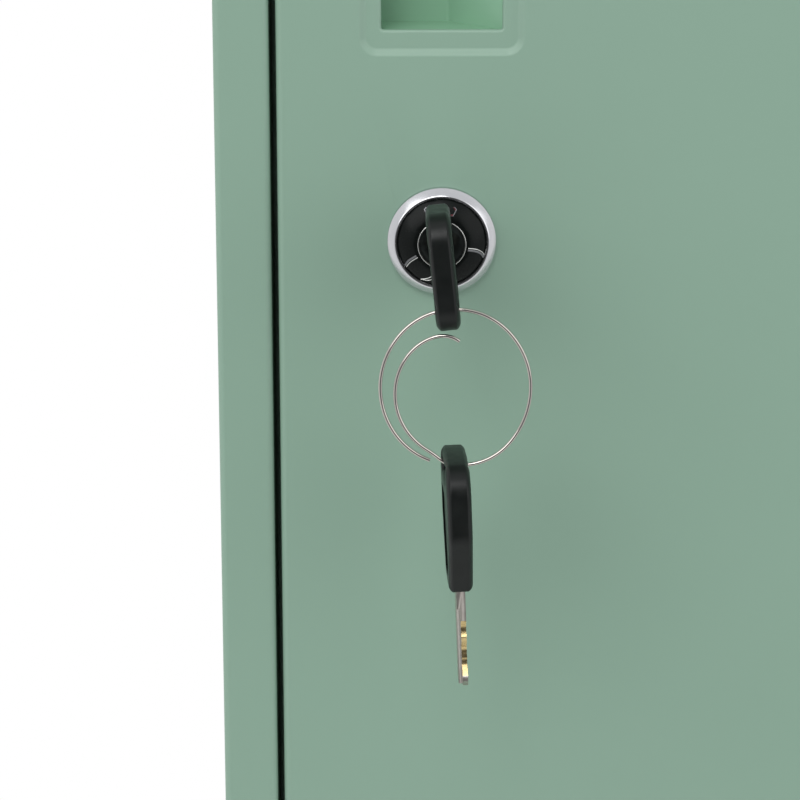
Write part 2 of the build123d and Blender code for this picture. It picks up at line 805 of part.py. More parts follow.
# Tangent arcs in pairs through points with known directions
def joint_of(start, start_way, finish, finish_way):
    chord = finish - start
    ways = start_way + finish_way
    spread = 2 * (1 - start_way.dot(finish_way))
    reach = chord.dot(ways)
    arm = (sqrt(reach**2 + spread * chord.dot(chord)) - reach) / spread
    return start + start_way * arm, finish - finish_way * arm


def arc_pairs(points, ways):
    for start, start_way, finish, finish_way in zip(points, ways, points[1:], ways[1:]):
        near, far = joint_of(start, start_way, finish, finish_way)
        middle = (near + far) / 2
        TangentArc(start, middle, tangent=start_way)
        TangentArc(middle, finish, tangent=far - near)


# Spring round the upper pin, between its bracket and the collar
spring_base = bracket_top_z + spring_wire / 2
spring_climb = spring_space - 1.5 * spring_wire
spring_angles = [pi / 2 * quarter for quarter in range(4 * spring_turns + 1)]


def spring_height(angle):
    return spring_base + spring_climb * angle / (2 * pi * spring_turns)


spring_slope = spring_climb / (2 * pi * spring_turns)
spring_points = [
    Vector(pivot_x + spring_radius * cos(a), pivot_y + spring_radius * sin(a), spring_height(a))
    for a in spring_angles
]
spring_ways = [
    Vector(-spring_radius * sin(a), spring_radius * cos(a), spring_slope).normalized() for a in spring_angles
]
with BuildPart() as hinge_spring:
    with BuildLine():
        Line(spring_points[0] - spring_ways[0] * spring_wire, spring_points[0])
        arc_pairs(spring_points, spring_ways)
        Line(spring_points[-1], spring_points[-1] + spring_ways[-1] * spring_wire)
    with BuildSketch(Plane(spring_points[0] - spring_ways[0] * spring_wire, z_dir=spring_ways[0])):
        Circle(spring_wire / 2)
    sweep()
save(hinge_spring.part, "hinge_spring")
print(f"spring: least gap between turns {spring_climb / spring_turns - spring_wire:.2f}")

# Lock housing: a flanged barrel with two flats, bored for the plug
lock_section = Plane(origin=(lock_x, front, lock_height), x_dir=(1, 0, 0), z_dir=(0, 0, -1))
lock_axis = Axis((lock_x, front, lock_height), (0, -1, 0))
with BuildPart() as lock_housing:
    with BuildSketch(lock_section):
        with BuildLine():
            Polyline(
                (plug_radius + plug_fit, -housing_length),
                (housing_radius, -housing_length),
                (housing_radius, 0),
                (face_radius, 0),
                (face_radius, housing_flange),
                (plug_disc + plug_fit, housing_flange),
                (plug_disc + plug_fit, plug_disc_back - plug_fit),
                (plug_radius + plug_fit, plug_disc_back - plug_fit),
                close=True,
            )
        make_face()
    revolve(axis=lock_axis)
    chamfer(lock_housing.faces().sort_by(Axis.Y)[-1].edges().sort_by(SortBy.RADIUS)[-1], 0.6)
    with BuildSketch(housing_plane):
        Rectangle(4 * housing_radius, 4 * housing_radius)
        Rectangle(2 * housing_flat, 4 * housing_radius, mode=Mode.SUBTRACT)
    extrude(amount=-housing_length, mode=Mode.SUBTRACT)
save(lock_housing.part, "lock_housing")

# Bezel: a rounded ring that covers the flange
bezel_centre = bezel_radius - bezel_draft - bezel_round
bezel_turn = degrees(acos((face_radius - bezel_centre) / bezel_round))
bezel_lip = bezel_rise - bezel_round * (1 - sin(radians(bezel_turn)))
with BuildPart() as lock_bezel:
    with BuildSketch(lock_section):
        with BuildLine():
            CenterArc((bezel_centre, bezel_rise - bezel_round), bezel_round, 0, bezel_turn)
            Polyline(
                (face_radius, bezel_lip),
                (face_radius, 0),
                (bezel_radius, 0),
                (bezel_radius, bezel_land),
                (bezel_radius - bezel_draft, bezel_rise - bezel_round),
            )
        make_face()
    revolve(axis=lock_axis)
save(lock_bezel.part, "lock_bezel")

# Face: a low cone of black plastic between the bezel and the plug
with BuildPart() as lock_face:
    with BuildSketch(lock_section):
        with BuildLine():
            Polyline(
                (face_radius, face_rim - bezel_land),
                (face_radius, housing_flange),
                (plug_disc + plug_fit, housing_flange),
                (plug_disc + plug_fit, face_crown),
                (plug_disc + plug_fit + plug_rim, face_crown),
            )
            ThreePointArc(
                (plug_disc + plug_fit + plug_rim, face_crown),
                ((plug_disc + plug_rim + face_radius) / 2, (face_crown + face_rim) / 2),
                (face_radius, face_rim - bezel_land),
            )
        make_face()
    revolve(axis=lock_axis)
save(lock_face.part, "lock_face")

# Nut that draws the flange against the skin
with BuildPart() as lock_nut:
    with BuildSketch(housing_plane.offset(-sheet)):
        RegularPolygon(nut_flats / 2, 6, major_radius=False)
        Circle(housing_radius, mode=Mode.SUBTRACT)
    extrude(amount=-nut_height)
    chamfer(lock_nut.edges().group_by(Axis.Y)[-1].filter_by(GeomType.LINE), 0.8)
save(lock_nut.part, "lock_nut")

# Plug: the part the key turns, with a square tail for the cam
head_foot_w = plug_front + head_standoff
blade_length = blade_shank + blade_bitted
blade_tip_w = head_foot_w - blade_length
cam_w = front - cam_y
with BuildPart() as lock_plug:
    with BuildSketch(lock_plane.offset(plug_disc_back)):
        Circle(plug_disc)
    extrude(amount=plug_front - plug_disc_back)
    with BuildSketch(lock_plane.offset(plug_front)):
        Circle(plug_disc - plug_rim)
    extrude(amount=-plug_dish, mode=Mode.SUBTRACT)
    with BuildSketch(lock_plane.offset(plug_disc_back)):
        Circle(plug_radius)
    extrude(amount=cam_w - plug_disc_back)
    with BuildSketch(lock_plane.offset(cam_w)):
        Rectangle(plug_square, plug_square)
    extrude(amount=-cam_thickness)
    # Keyway, and the hole for the cam's screw
    with BuildSketch(lock_plane.offset(blade_tip_w - 1)):
        Rectangle(blade_thickness + 2 * keyway_fit, blade_width + 2 * keyway_fit)
    extrude(amount=plug_front - blade_tip_w + 1, mode=Mode.SUBTRACT)
    with BuildSketch(lock_plane.offset(cam_w - cam_thickness)):
        Circle(cam_screw_radius)
    extrude(amount=3 * cam_screw_radius, mode=Mode.SUBTRACT)
save(lock_plug.part, "lock_plug")

# Cam: a tapered arm on the square, pointing down when the door is free
with BuildPart() as lock_cam:
    with BuildSketch(lock_plane.offset(cam_w)):
        Circle(cam_hub)
        with Locations((0, -(cam_reach - cam_tip))):
            Circle(cam_tip)
        make_hull()
        Rectangle(plug_square, plug_square, mode=Mode.SUBTRACT)
    extrude(amount=-cam_thickness)
save(lock_cam.part, "lock_cam")

with BuildPart() as cam_washer_ring:
    with BuildSketch(lock_plane.offset(cam_w - cam_thickness)):
        Circle(cam_washer_radius)
        Circle(cam_screw_radius, mode=Mode.SUBTRACT)
    extrude(amount=-cam_washer)
save(cam_washer_ring.part, "cam_washer")

screw_w = cam_w - cam_thickness - cam_washer
with BuildPart() as cam_screw:
    with BuildSketch(lock_plane.offset(screw_w)):
        Circle(cam_screw_radius)
    extrude(amount=cam_washer + 3 * cam_screw_radius - cam_screw_tip)
    with BuildSketch(lock_plane.offset(screw_w)):
        Circle(cam_screw_head)
    extrude(amount=-cam_screw_head_height)
    fillet(cam_screw.faces().sort_by(Axis.Y)[-1].edges(), cam_screw_head_height / 2)
    with BuildSketch(lock_plane.offset(screw_w - cam_screw_head_height)):
        Rectangle(cam_screw_radius / 2, cam_screw_radius * 2)
        Rectangle(cam_screw_radius * 2, cam_screw_radius / 2)
    extrude(amount=cam_screw_head_height / 2, mode=Mode.SUBTRACT)
save(cam_screw.part, "cam_screw")


# Keys lie in a plane with x across the head, y from the blade to the ring end, z through it
with BuildSketch() as head_outline:
    with BuildLine():
        ThreePointArc((-head_width / 2, -head_crown), (0, 0), (head_width / 2, -head_crown))
        Polyline(
            (head_width / 2, -head_crown),
            (head_width / 2, -head_straight),
            (head_foot / 2, -head_length),
            (-head_foot / 2, -head_length),
            (-head_width / 2, -head_straight),
            (-head_width / 2, -head_crown),
        )
    make_face()
    fillet(head_outline.vertices().group_by(Axis.Y)[0], head_foot_corner)
    fillet(head_outline.vertices().group_by(Axis.Y)[-1], head_corner)
    fillet(head_outline.vertices().group_by(Axis.Y)[-3], head_corner)


def key_head(plane):
    slot_y = -slot_rim - slot_width / 2
    with BuildPart() as head:
        with BuildSketch(plane.offset(-head_thickness / 2)):
            add(head_outline.sketch)
        extrude(amount=head_thickness)
        rims = head.faces().filter_by(GeomType.PLANE).sort_by(SortBy.AREA)[-2:]
        fillet(rims.edges(), head_edge)
        # Slot for the ring, rounded where the wire bears
        with BuildSketch(plane.offset(-head_thickness / 2)):
            with Locations((0, slot_y)):
                SlotOverall(slot_length, slot_width)
        extrude(amount=head_thickness, mode=Mode.SUBTRACT)
        rims = head.faces().filter_by(GeomType.PLANE).sort_by(SortBy.AREA)[-2:]
        fillet([edge for rim in rims for wire in rim.inner_wires() for edge in wire.edges()], slot_edge)
        # Sunk panels on both faces
        for level, way in ((-head_thickness / 2, 1), (head_thickness / 2, -1)):
            with BuildSketch(plane.offset(level)):
                add(head_outline.sketch)
                offset(amount=-panel_border, mode=Mode.REPLACE)
                with Locations((0, slot_y)):
                    Rectangle(head_width, 2 * (slot_width + slot_rim), mode=Mode.SUBTRACT)
            extrude(amount=way * panel_depth, mode=Mode.SUBTRACT)
        # Seat of the blade
        with BuildSketch(plane.offset(-blade_thickness / 2)):
            with Locations((0, -head_length)):
                Rectangle(blade_width, blade_tang, align=(Align.CENTER, Align.MIN))
        extrude(amount=blade_thickness, mode=Mode.SUBTRACT)
    return head.part


def key_blade(plane):
    half = blade_width / 2
    shoulder = -head_length - blade_shank
    tip = -head_length - blade_length
    with BuildPart() as blade:
        with BuildSketch(plane.offset(-blade_thickness / 2)):
            with BuildLine():
                Polyline(
                    (-half, -head_length + blade_tang),
                    (half, -head_length + blade_tang),
                    (half, tip + blade_nose),
                    (half - blade_nose, tip),
                    (blade_nose - half, tip),
                    (-half, tip + blade_nose),
                    close=True,
                )
            make_face()
            # Cuts on the leading edge, each with a flat between two slopes
            for place, depth in enumerate(bitting):
                middle = shoulder - bitting_start - bitting_pitch * place
                with BuildLine():
                    Polyline(
                        (half, middle + bitting_flat / 2 + depth),
                        (half - depth, middle + bitting_flat / 2),
                        (half - depth, middle - bitting_flat / 2),
                        (half, middle - bitting_flat / 2 - depth),
                        close=True,
                    )
                make_face(mode=Mode.SUBTRACT)
        extrude(amount=blade_thickness)
        # A milled groove along one face, and a rebate along the bitted edge of the other
        for level, way, middle in (
            (-blade_thickness / 2, 1, -blade_groove_width / 2),
            (blade_thickness / 2, -1, half - blade_groove_width / 2),
        ):
            with BuildSketch(plane.offset(level)):
                with Locations((middle, shoulder)):
                    Rectangle(blade_groove_width, blade_bitted, align=(Align.CENTER, Align.MAX))
            extrude(amount=way * blade_groove, mode=Mode.SUBTRACT)
    return blade.part


# Key in the lock
across = lock_plane.x_dir
up_key = lock_plane.y_dir
head_end_w = head_foot_w + head_length
key_plane = Plane(
    origin=lock_plane.origin + lock_plane.z_dir * head_end_w,
    x_dir=up_key,
    z_dir=across,
)
save(key_head(key_plane), "key_head")
save(key_blade(key_plane), "key_blade")

# Ring: one and a half turns of wire in an upright plane, its second turn inside the first
slot_w = head_end_w - slot_rim - slot_width / 2
ring_y = front - slot_w
slot_foot = lock_plane.origin - up_key * (slot_length / 2)
ring_top = slot_foot.Z + ring_wire / 2 + ring_seat
ring_x = slot_foot.X + ring_offset
ring_z = ring_top - ring_half_height


def ring_point(turned):
    angle = radians(turned)
    jog = min(max((turned - ring_jog_start) / ring_jog, 0), 1)
    tuck = max(turned - ring_tuck_start, 0) / (ring_end - ring_tuck_start)
    scale = 1 - ring_step * jog**2 * (3 - 2 * jog) - ring_shrink * max(turned - 360, 0) - ring_tuck * tuck**2
    return Vector(
        ring_x - ring_half_width * scale * sin(angle), ring_y, ring_z - ring_half_height * scale * cos(angle)
    )


def ring_way(turned):
    return (ring_point(turned + 0.5) - ring_point(turned - 0.5)).normalized()


ring_angles = [ring_start, 90, 180, 270, ring_jog_start, ring_jog_start + ring_jog, 450, ring_tuck_start]
ring_angles += [(ring_tuck_start + ring_end) / 2, ring_end]
ring_points = [ring_point(a) for a in ring_angles]
ring_ways = [ring_way(a) for a in ring_angles]
with BuildPart() as key_ring:
    with BuildLine():
        arc_pairs(ring_points, ring_ways)
    with BuildSketch(Plane(ring_points[0], z_dir=ring_ways[0])):
        Circle(ring_wire / 2)
    sweep()
save(key_ring.part, "key_ring")

inner_turn = [ring_point(a) for a in range(int(ring_start) + 340, int(ring_end), 2)]
outer_turn = [ring_point(a) for a in range(int(ring_start), 200, 2)]
ring_gap = min((near - far).length for near in inner_turn for far in outer_turn) - ring_wire
print(f"key ring: least gap between turns {ring_gap:.2f}")

# Spare key, hanging from the bottom of the ring
lean = radians(key_lean)
yaw = radians(key_yaw)
hang_point = Vector(ring_x, ring_y, ring_z - ring_half_height)
spare_x = Vector(sin(yaw), -cos(yaw), 0)
spare_y = Vector(-sin(lean) * cos(yaw), -sin(lean) * sin(yaw), cos(lean))
spare_origin = hang_point + spare_y * (ring_wire / 2 + spare_seat + slot_rim)
spare_plane = Plane(origin=spare_origin, x_dir=spare_x, z_dir=spare_x.cross(spare_y))
save(key_head(spare_plane), "spare_key_head")
save(key_blade(spare_plane), "spare_key_blade")
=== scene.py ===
import json
from math import cos, pi, radians, sin

import bmesh
import bpy
from bpy.props import FloatProperty, FloatVectorProperty, IntProperty, PointerProperty
from mathutils import Euler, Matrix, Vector


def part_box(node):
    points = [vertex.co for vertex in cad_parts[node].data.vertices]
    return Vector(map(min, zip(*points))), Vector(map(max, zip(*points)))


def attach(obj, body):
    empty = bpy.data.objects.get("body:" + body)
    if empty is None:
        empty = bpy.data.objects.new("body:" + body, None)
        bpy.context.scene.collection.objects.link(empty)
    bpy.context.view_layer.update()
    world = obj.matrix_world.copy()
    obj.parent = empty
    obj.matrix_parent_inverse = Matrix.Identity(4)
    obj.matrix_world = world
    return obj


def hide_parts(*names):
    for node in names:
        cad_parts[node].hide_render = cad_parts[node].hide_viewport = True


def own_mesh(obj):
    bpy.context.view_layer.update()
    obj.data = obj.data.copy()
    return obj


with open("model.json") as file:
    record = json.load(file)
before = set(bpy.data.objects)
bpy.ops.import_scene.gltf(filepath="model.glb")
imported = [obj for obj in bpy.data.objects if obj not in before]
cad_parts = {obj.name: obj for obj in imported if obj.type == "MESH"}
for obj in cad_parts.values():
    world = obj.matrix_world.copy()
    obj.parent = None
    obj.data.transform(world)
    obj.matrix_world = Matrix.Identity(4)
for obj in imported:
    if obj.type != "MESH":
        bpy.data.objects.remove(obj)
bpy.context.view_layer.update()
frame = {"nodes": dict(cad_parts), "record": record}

bl_info = {
    "name": "Clothes Locker",
    "version": (1, 0, 0),
    "blender": (4, 5, 0),
    "location": "3D View > Sidebar > Locker",
    "description": "Dresses a single-door steel clothes locker with its lock, keys and fittings",
    "category": "Object",
}

MM = 0.001
SAME_PLACE = 1e-6
NODES = frame["nodes"]

# Places taken from the CAD nodes
DOOR_LOW, DOOR_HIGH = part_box("door_skin")
CABINET_LOW, CABINET_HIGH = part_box("side_panel_left")
BEZEL_LOW, BEZEL_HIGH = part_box("lock_bezel")
FRONT = CABINET_LOW.y
LOCK = Vector(((BEZEL_LOW.x + BEZEL_HIGH.x) / 2, FRONT, (BEZEL_LOW.z + BEZEL_HIGH.z) / 2))


def linear(code):
    """Turns an sRGB hex code into linear red, green, blue and a full alpha."""
    parts = [int(code[i : i + 2], 16) / 255 for i in (1, 3, 5)]
    return tuple(p / 12.92 if p <= 0.04045 else ((p + 0.055) / 1.055) ** 2.4 for p in parts) + (1.0,)


def size(name, default, text):
    """A length setting, in metres, given in millimetres."""
    return FloatProperty(name=name, default=default * MM, min=0.0, precision=5, unit="LENGTH", description=text)


def colour(name, code, text):
    """A colour setting."""
    return FloatVectorProperty(name=name, default=linear(code), size=4, subtype="COLOR", min=0, max=1, description=text)


class LockerColours(bpy.types.PropertyGroup):
    coat: colour("Powder coat", "#87A492", "Powder coat on the cabinet and the door")
    # The pocket is painted with the same coat as the door. This greener colour is painted bounce light from the
    # pocket's own walls.
    pocket: colour("Pocket", "#86B194", "Coat in the pocket, greener for the light its walls throw on each other")
    black_plastic: colour("Black plastic", "#101312", "Moulded plastic of the lock face and the key heads")
    mark: colour("Mark", "#5E0C18", "Enamel of the position mark over the keyway")
    brass: colour("Brass", "#CDB684", "Bare brass in the cuts of the keys")
    floor: colour("Floor", "#EDEDEB", "Floor of the studio")


class LockerSizes(bpy.types.PropertyGroup):
    sheet: size("Sheet", 0.8, "Thickness of the steel sheet")
    bend: size("Bend", 1.6, "Outer radius of the door's bends")
    door_return: size("Return", 12.0, "Width of the door's inner flange")
    dish_half_width: size("Dish half width", 19.25, "Half the width of the pressed dish")
    dish_half_height: size("Dish half height", 47.5, "Half the height of the pressed dish")
    dish_corner: size("Dish corner", 4.0, "Corner radius of the dish")
    dish_depth: size("Dish depth", 1.0, "Depth of the dish")
    dish_slope: size("Dish slope", 2.1, "Width of the dish's rounded wall")
    pull_half_width: size("Pull half width", 14.25, "Half the width of the opening")
    pull_half_height: size("Pull half height", 42.0, "Half the height of the opening")
    pull_corner: size("Pull corner", 0.5, "Corner radius of the opening")
    pull_edge: size("Pull edge", 0.8, "Radius of the opening's punched edge")
    pull_lap: size("Pull lap", 0.3, "How far the punched edge reaches into the opening above and below")
    pull_rise: size("Pull rise", 92.2, "Height of the opening's middle over the lock")
    lock_hole: size("Lock hole", 9.25, "Radius of the hole behind the bezel")
    louvre_width: size("Louvre width", 120.0, "Width of one louvre")
    louvre_height: size("Louvre height", 9.0, "Height of one louvre")
    louvre_stand: size("Louvre stand", 3.2, "How far a louvre stands out")
    louvre_lip: size("Louvre lip", 0.8, "Straight edge at a louvre's mouth")
    louvre_end: size("Louvre end", 6.0, "Length of a louvre's rounded end")
    louvre_sink: size("Louvre sink", 0.2, "How far a louvre's foot sinks into the skin")
    louvre_pitch: size("Louvre pitch", 14.0, "Distance from louvre to louvre")
    louvre_margin: size("Louvre margin", 60.0, "Distance from the door's end to the first louvre")
    louvre_count: IntProperty(name="Louvres", default=6, min=1, description="Louvres in each group")
    rivet_head: size("Rivet head", 3.2, "Radius of a rivet's head")
    rivet_rise: size("Rivet rise", 1.0, "Height of a rivet's head")
    rivet_mandrel: size("Rivet mandrel", 0.9, "Radius of the broken mandrel in a rivet's head")
    rivet_count: IntProperty(name="Rivets", default=5, min=2, description="Rivets on each side")
    head_round: size("Head round", 1.8, "Depth of the rounding on the edges of the key heads")
    head_draw: size("Head draw", 0.75, "How far the key heads draw in towards their faces")
    spring_wire: size("Spring wire", 0.7, "Wire of the hinge spring")
    spring_radius: size("Spring radius", 3.5, "Radius of the hinge spring's coil")
    spring_turns: FloatProperty(name="Spring turns", default=6.0, min=1.0, description="Turns of the hinge spring")


class LockerStage(bpy.types.PropertyGroup):
    lens: FloatProperty(name="Lens", default=155.0, min=10.0, subtype="DISTANCE_CAMERA", description="Focal length")
    reach: size("Reach", 802.8, "Distance of the camera from the door's plane")
    side: size("Side", -9.29, "Place of the camera beside the lock")
    rise: size("Rise", 187.68, "Height of the camera over the lock")
    pitch: FloatProperty(name="Pitch", default=radians(15.82), subtype="ANGLE", description="Downward tilt")
    yaw: FloatProperty(name="Yaw", default=radians(0.055), subtype="ANGLE", description="Turn to the left")
    roll: FloatProperty(name="Roll", default=radians(-0.134), subtype="ANGLE", description="Turn about the view")
    floor_radius: size("Floor radius", 1500.0, "Radius of the studio's floor")


# Materials


def add_node(tree, kind, settings=(), values=(), links=()):
    """Adds a node, sets it up and links its inputs, and gives it back."""
    node = tree.nodes.new(kind)
    for name, value in dict(settings).items():
        setattr(node, name, value)
    for socket, value in dict(values).items():
        node.inputs[socket].default_value = value
    for socket, source in dict(links).items():
        tree.links.new(source, node.inputs[socket])
    return node


def mapped(tree, value, low, high, span=(0.3, 0.7), curve="LINEAR"):
    """A value's span, which is noise's own unless given, stretched from low to high."""
    stretched = add_node(
        tree,
        "ShaderNodeMapRange",
        settings={"interpolation_type": curve},
        values={"From Min": span[0], "From Max": span[1], "To Min": low, "To Max": high},
        links={"Value": value},
    )
    return stretched.outputs["Result"]


def grain(tree, spacing, detail=2.0, stretch=(1, 1, 1)):
    """Noise on the piece's own coordinates, whose lumps are about that many millimetres apart."""
    place = add_node(tree, "ShaderNodeTexCoord")
    scaled = add_node(tree, "ShaderNodeMapping", values={"Scale": stretch}, links={"Vector": place.outputs["Object"]})
    noise = add_node(
        tree,
        "ShaderNodeTexNoise",
        values={"Scale": 1 / (spacing * MM), "Detail": detail, "Roughness": 0.5},
        links={"Vector": scaled.outputs["Vector"]},
    )
    return noise.outputs["Fac"]


def shade(colour, factor):
    """The colour made lighter or darker by a factor."""
    return tuple(min(part * factor, 1.0) for part in colour[:3]) + (1.0,)


def new_finish(name, **values):
    """Starts a material with one shader and gives the material, its tree and the shader."""
    finish = bpy.data.materials.new(name)
    finish.use_nodes = True
    tree = finish.node_tree
    tree.nodes.clear()
    shader = add_node(tree, "ShaderNodeBsdfPrincipled", values=values)
    add_node(tree, "ShaderNodeOutputMaterial", links={"Surface": shader.outputs["BSDF"]})
    return finish, tree, shader


def make_finish(name, tints, rough, patches, depth, grit, spread=0, detail=1.0, stretch=(1, 1, 1), **values):
    """Makes a finish from one tint or two, a range of roughness and a relief.

    Two tints change every spread millimetres, and the roughness every patches millimetres. The relief is depth
    millimetres deep and grit millimetres from crest to crest. What is left goes to the shader's own inputs.
    """
    _, tree, shader = new_finish(name, **values)
    if spread:
        ramp = add_node(tree, "ShaderNodeValToRGB", links={"Fac": grain(tree, spread)})
        for stop, place, tint in zip(ramp.color_ramp.elements, (0.35, 0.65), tints):
            stop.position = place
            stop.color = tint
        tree.links.new(ramp.outputs["Color"], shader.inputs["Base Color"])
    else:
        shader.inputs["Base Color"].default_value = tints[0]
    tree.links.new(mapped(tree, grain(tree, patches), *rough), shader.inputs["Roughness"])
    relief = add_node(
        tree,
        "ShaderNodeBump",
        values={"Strength": 1.0, "Distance": depth * MM},
        links={"Height": grain(tree, grit, detail, stretch)},
    )
    tree.links.new(relief.outputs["Normal"], shader.inputs["Normal"])


def make_metal(name, first, second="", **ranges):
    """Makes a metal finish from one hex code or two."""
    make_finish(name, [linear(code) for code in (first, second) if code], Metallic=1.0, **ranges)


def make_finishes(colours):
    # Polyester powder coat on cold-rolled sheet, sprayed and baked: satin, with an orange peel that is 1 to 3 mm from
    # crest to crest and a few microns deep
    # The pocket's copy of the coat is made greener as painted bounce light between the pocket's walls
    for name, coat in (("polyester_powder_coat_satin", colours.coat), ("powder_coat_with_painted_pocket_bounce", colours.pocket)):
        tints = (shade(coat, 0.985), shade(coat, 1.015))
        make_finish(name, tints, spread=160, rough=(0.40, 0.46), patches=45, depth=0.006, grit=1.8, IOR=1.5)
    # Bright chrome on a zinc casting, lightly brushed: clear but soft-edged reflections
    make_metal("chrome_plated_zinc_casting", "#CFCFD2", rough=(0.14, 0.22), patches=2.5, depth=0.002, grit=0.6)
    # Chrome, nickel or bright drawn steel, with fine die lines
    for name, code, rough in (
        ("chrome_plated_tube", "#D8D9DB", (0.06, 0.12)),
        ("bright_drawn_wire", "#C2BCB6", (0.06, 0.12)),
        ("drawn_spring_steel", "#8E8F90", (0.25, 0.35)),
        ("polished_nickel_rim", "#D9D9D6", (0.12, 0.2)),
        ("satin_nickel_rib", "#77777A", (0.35, 0.45)),
    ):
        make_metal(name, code, rough=rough, patches=1.5, depth=0.001, grit=0.5)
    # Zinc plate on fasteners and brackets: cool grey, with cloudy patches
    make_metal(
        "bright_zinc_plate", "#AFB4BA", "#C6C9C8", spread=6, rough=(0.28, 0.42), patches=1.2, depth=0.003, grit=0.7
    )
    # Nickel on the plug's face, faintly turned
    make_metal(
        "dark_nickel_plate", "#353938", "#434847", spread=2, rough=(0.42, 0.55), patches=0.8, depth=0.002, grit=0.35
    )
    # Milled key blades. Cutter marks are about 0.1 mm apart, drawn at 0.25 mm so that they show
    cutter = {"spread": 2.5, "patches": 0.8, "depth": 0.0008, "grit": 0.25, "detail": 0.0, "stretch": (0.1, 0.1, 1.0)}
    make_metal("milled_nickel_silver", "#B7B0A8", "#C3BEB6", rough=(0.28, 0.38), **cutter)
    brass = (shade(colours.brass, 0.85), shade(colours.brass, 1.1))
    make_finish("milled_brass", brass, rough=(0.2, 0.32), Metallic=1.0, **cutter)
    # Injection-moulded ABS and nylon: satin from the tool's spark-eroded face
    for name, plastic, rough, depth, grit, gloss in (
        ("gloss_black_abs", colours.black_plastic, (0.22, 0.3), 0.002, 0.8, 0.12),
        ("satin_black_nylon", colours.black_plastic, (0.3, 0.4), 0.004, 0.4, 0.25),
        ("natural_nylon", linear("#DEDACB"), (0.4, 0.5), 0.003, 0.6, 0.5),
    ):
        tints = (shade(plastic, 0.9), shade(plastic, 1.15))
        values = {"IOR": 1.5, "Specular IOR Level": gloss}
        make_finish(name, tints, spread=4, rough=rough, patches=2.2, depth=depth, grit=grit, **values)
    # Moulded EPDM rubber: matt and a little chalky
    tints = (linear("#161616"), linear("#202020"))
    make_finish("moulded_rubber", tints, spread=3, rough=(0.7, 0.85), patches=1.5, depth=0.006, grit=0.4, IOR=1.52)
    # Thin red enamel over bright metal
    tints = (shade(colours.mark, 0.75), shade(colours.mark, 1.1))
    make_finish("red_enamel", tints, spread=1.2, rough=(0.15, 0.25), patches=0.8, depth=0.002, grit=0.5, IOR=1.5)


def finishes():
    """Every finish by name, made at the first call."""
    if "polyester_powder_coat_satin" not in bpy.data.materials:
        make_finishes(bpy.context.scene.locker_colours)
    return bpy.data.materials


# Meshes


def show(name, data):
    """Puts a mesh, a curve, a lamp or a camera in the scene."""
    item = bpy.data.objects.new(name, data)
    bpy.context.scene.collection.objects.link(item)
    return item


def add_piece(name, mesh, body, hides=()):
    """Shows a mesh that is already in place as a piece of that body."""
    piece = show(name, mesh)
    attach(piece, body)
    if hides:
        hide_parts(*hides)
    return piece


def body_of(node):
    """The body that a CAD node rides on."""
    for body, members in frame["record"]["behaviour"]["bodies"].items():
        if node in members:
            return body
    raise ValueError(node)


def dress(mesh, *names):
    """Adds the named finishes to a mesh, one slot each, and gives it back."""
    for name in names:
        mesh.materials.append(finishes()[name])
    return mesh


def stand_in(node, mesh):
    """Shows a dressed mesh in place of a CAD node, on its body."""
    return add_piece(node + "_finished", mesh, body_of(node), (node,))


def flattened(holder, name, modifiers=()):
    """The plain mesh of an object with these modifiers, each a kind and its settings. The object is removed."""
    for kind, settings in modifiers:
        modifier = holder.modifiers.new(kind.lower(), kind)
        for label, value in settings.items():
            setattr(modifier, label, value)
    graph = bpy.context.evaluated_depsgraph_get()
    mesh = bpy.data.meshes.new_from_object(holder.evaluated_get(graph), depsgraph=graph)
    mesh.name = name
    bpy.data.objects.remove(holder)
    return mesh


def creased(mesh, angle=35):
    """Shades a mesh smooth, apart from edges sharper than the angle."""
    mesh.shade_smooth()
    mesh.set_sharp_from_angle(angle=radians(angle))


EVEN_SHADING = ("WEIGHTED_NORMAL", {"mode": "FACE_AREA", "weight": 100, "keep_sharp": True})


def joined(node):
    """A bare copy of a CAD node's mesh with its corners joined."""
    mesh = NODES[node].data.copy()
    mesh.materials.clear()
    shell = bmesh.new()
    shell.from_mesh(mesh)
    bmesh.ops.remove_doubles(shell, verts=shell.verts, dist=SAME_PLACE)
    bmesh.ops.dissolve_limit(shell, angle_limit=radians(0.3), verts=shell.verts, edges=shell.edges)
    shell.to_mesh(mesh)
    shell.free()
    return mesh


def even(name, mesh, angle=32):
    """Shades a mesh's bends smooth and its flats flat."""
    creased(mesh, angle)
    return flattened(show(name, mesh), name, [EVEN_SHADING])


def refinish(node, *names, angle=32):
    """Stands a joined copy in for a CAD node, with the named finishes in its slots."""
    return stand_in(node, dress(even(node, joined(node), angle), *names))


def refinish_all(name, *nodes):
    """Gives several CAD nodes the same finish."""
    for node in nodes:
        refinish(node, name)


def new_mesh(name, shell):
    """The mesh of a finished shell."""
    mesh = bpy.data.meshes.new(name)
    shell.to_mesh(mesh)
    shell.free()
    return mesh


def faced(name, shell, front):
    """The mesh of a finished shell, turned so that this face of it looks at the user."""
    bmesh.ops.recalc_face_normals(shell, faces=shell.faces)
    if front.normal.y > 0:
        bmesh.ops.reverse_faces(shell, faces=shell.faces)
    return new_mesh(name, shell)


def rounded_loop(centre, half_x, half_z, corner, y, steps=5):
    """Points of a rounded rectangle that faces the user, from its upper right corner round."""
    points = []
    for quarter, (way_x, way_z) in enumerate(((1, 1), (-1, 1), (-1, -1), (1, -1))):
        for step in range(steps + 1):
            angle = (quarter + step / steps) * pi / 2
            x = centre.x + way_x * (half_x - corner) + corner * cos(angle)
            z = centre.z + way_z * (half_z - corner) + corner * sin(angle)
            points.append(Vector((x, y, z)))
    # A full circle meets itself where its quarters join
    return [point for point, last in zip(points, points[-1:] + points) if (point - last).length > SAME_PLACE]


def add_loop(shell, points):
    """Adds a closed loop of vertices."""
    return [shell.verts.new(point) for point in points]


def join_loops(shell, first, second):
    """Fills the band between two loops of the same length."""
    count = len(first)
    for i in range(count):
        j = (i + 1) % count
        shell.faces.new((first[i], first[j], second[j], second[i]))


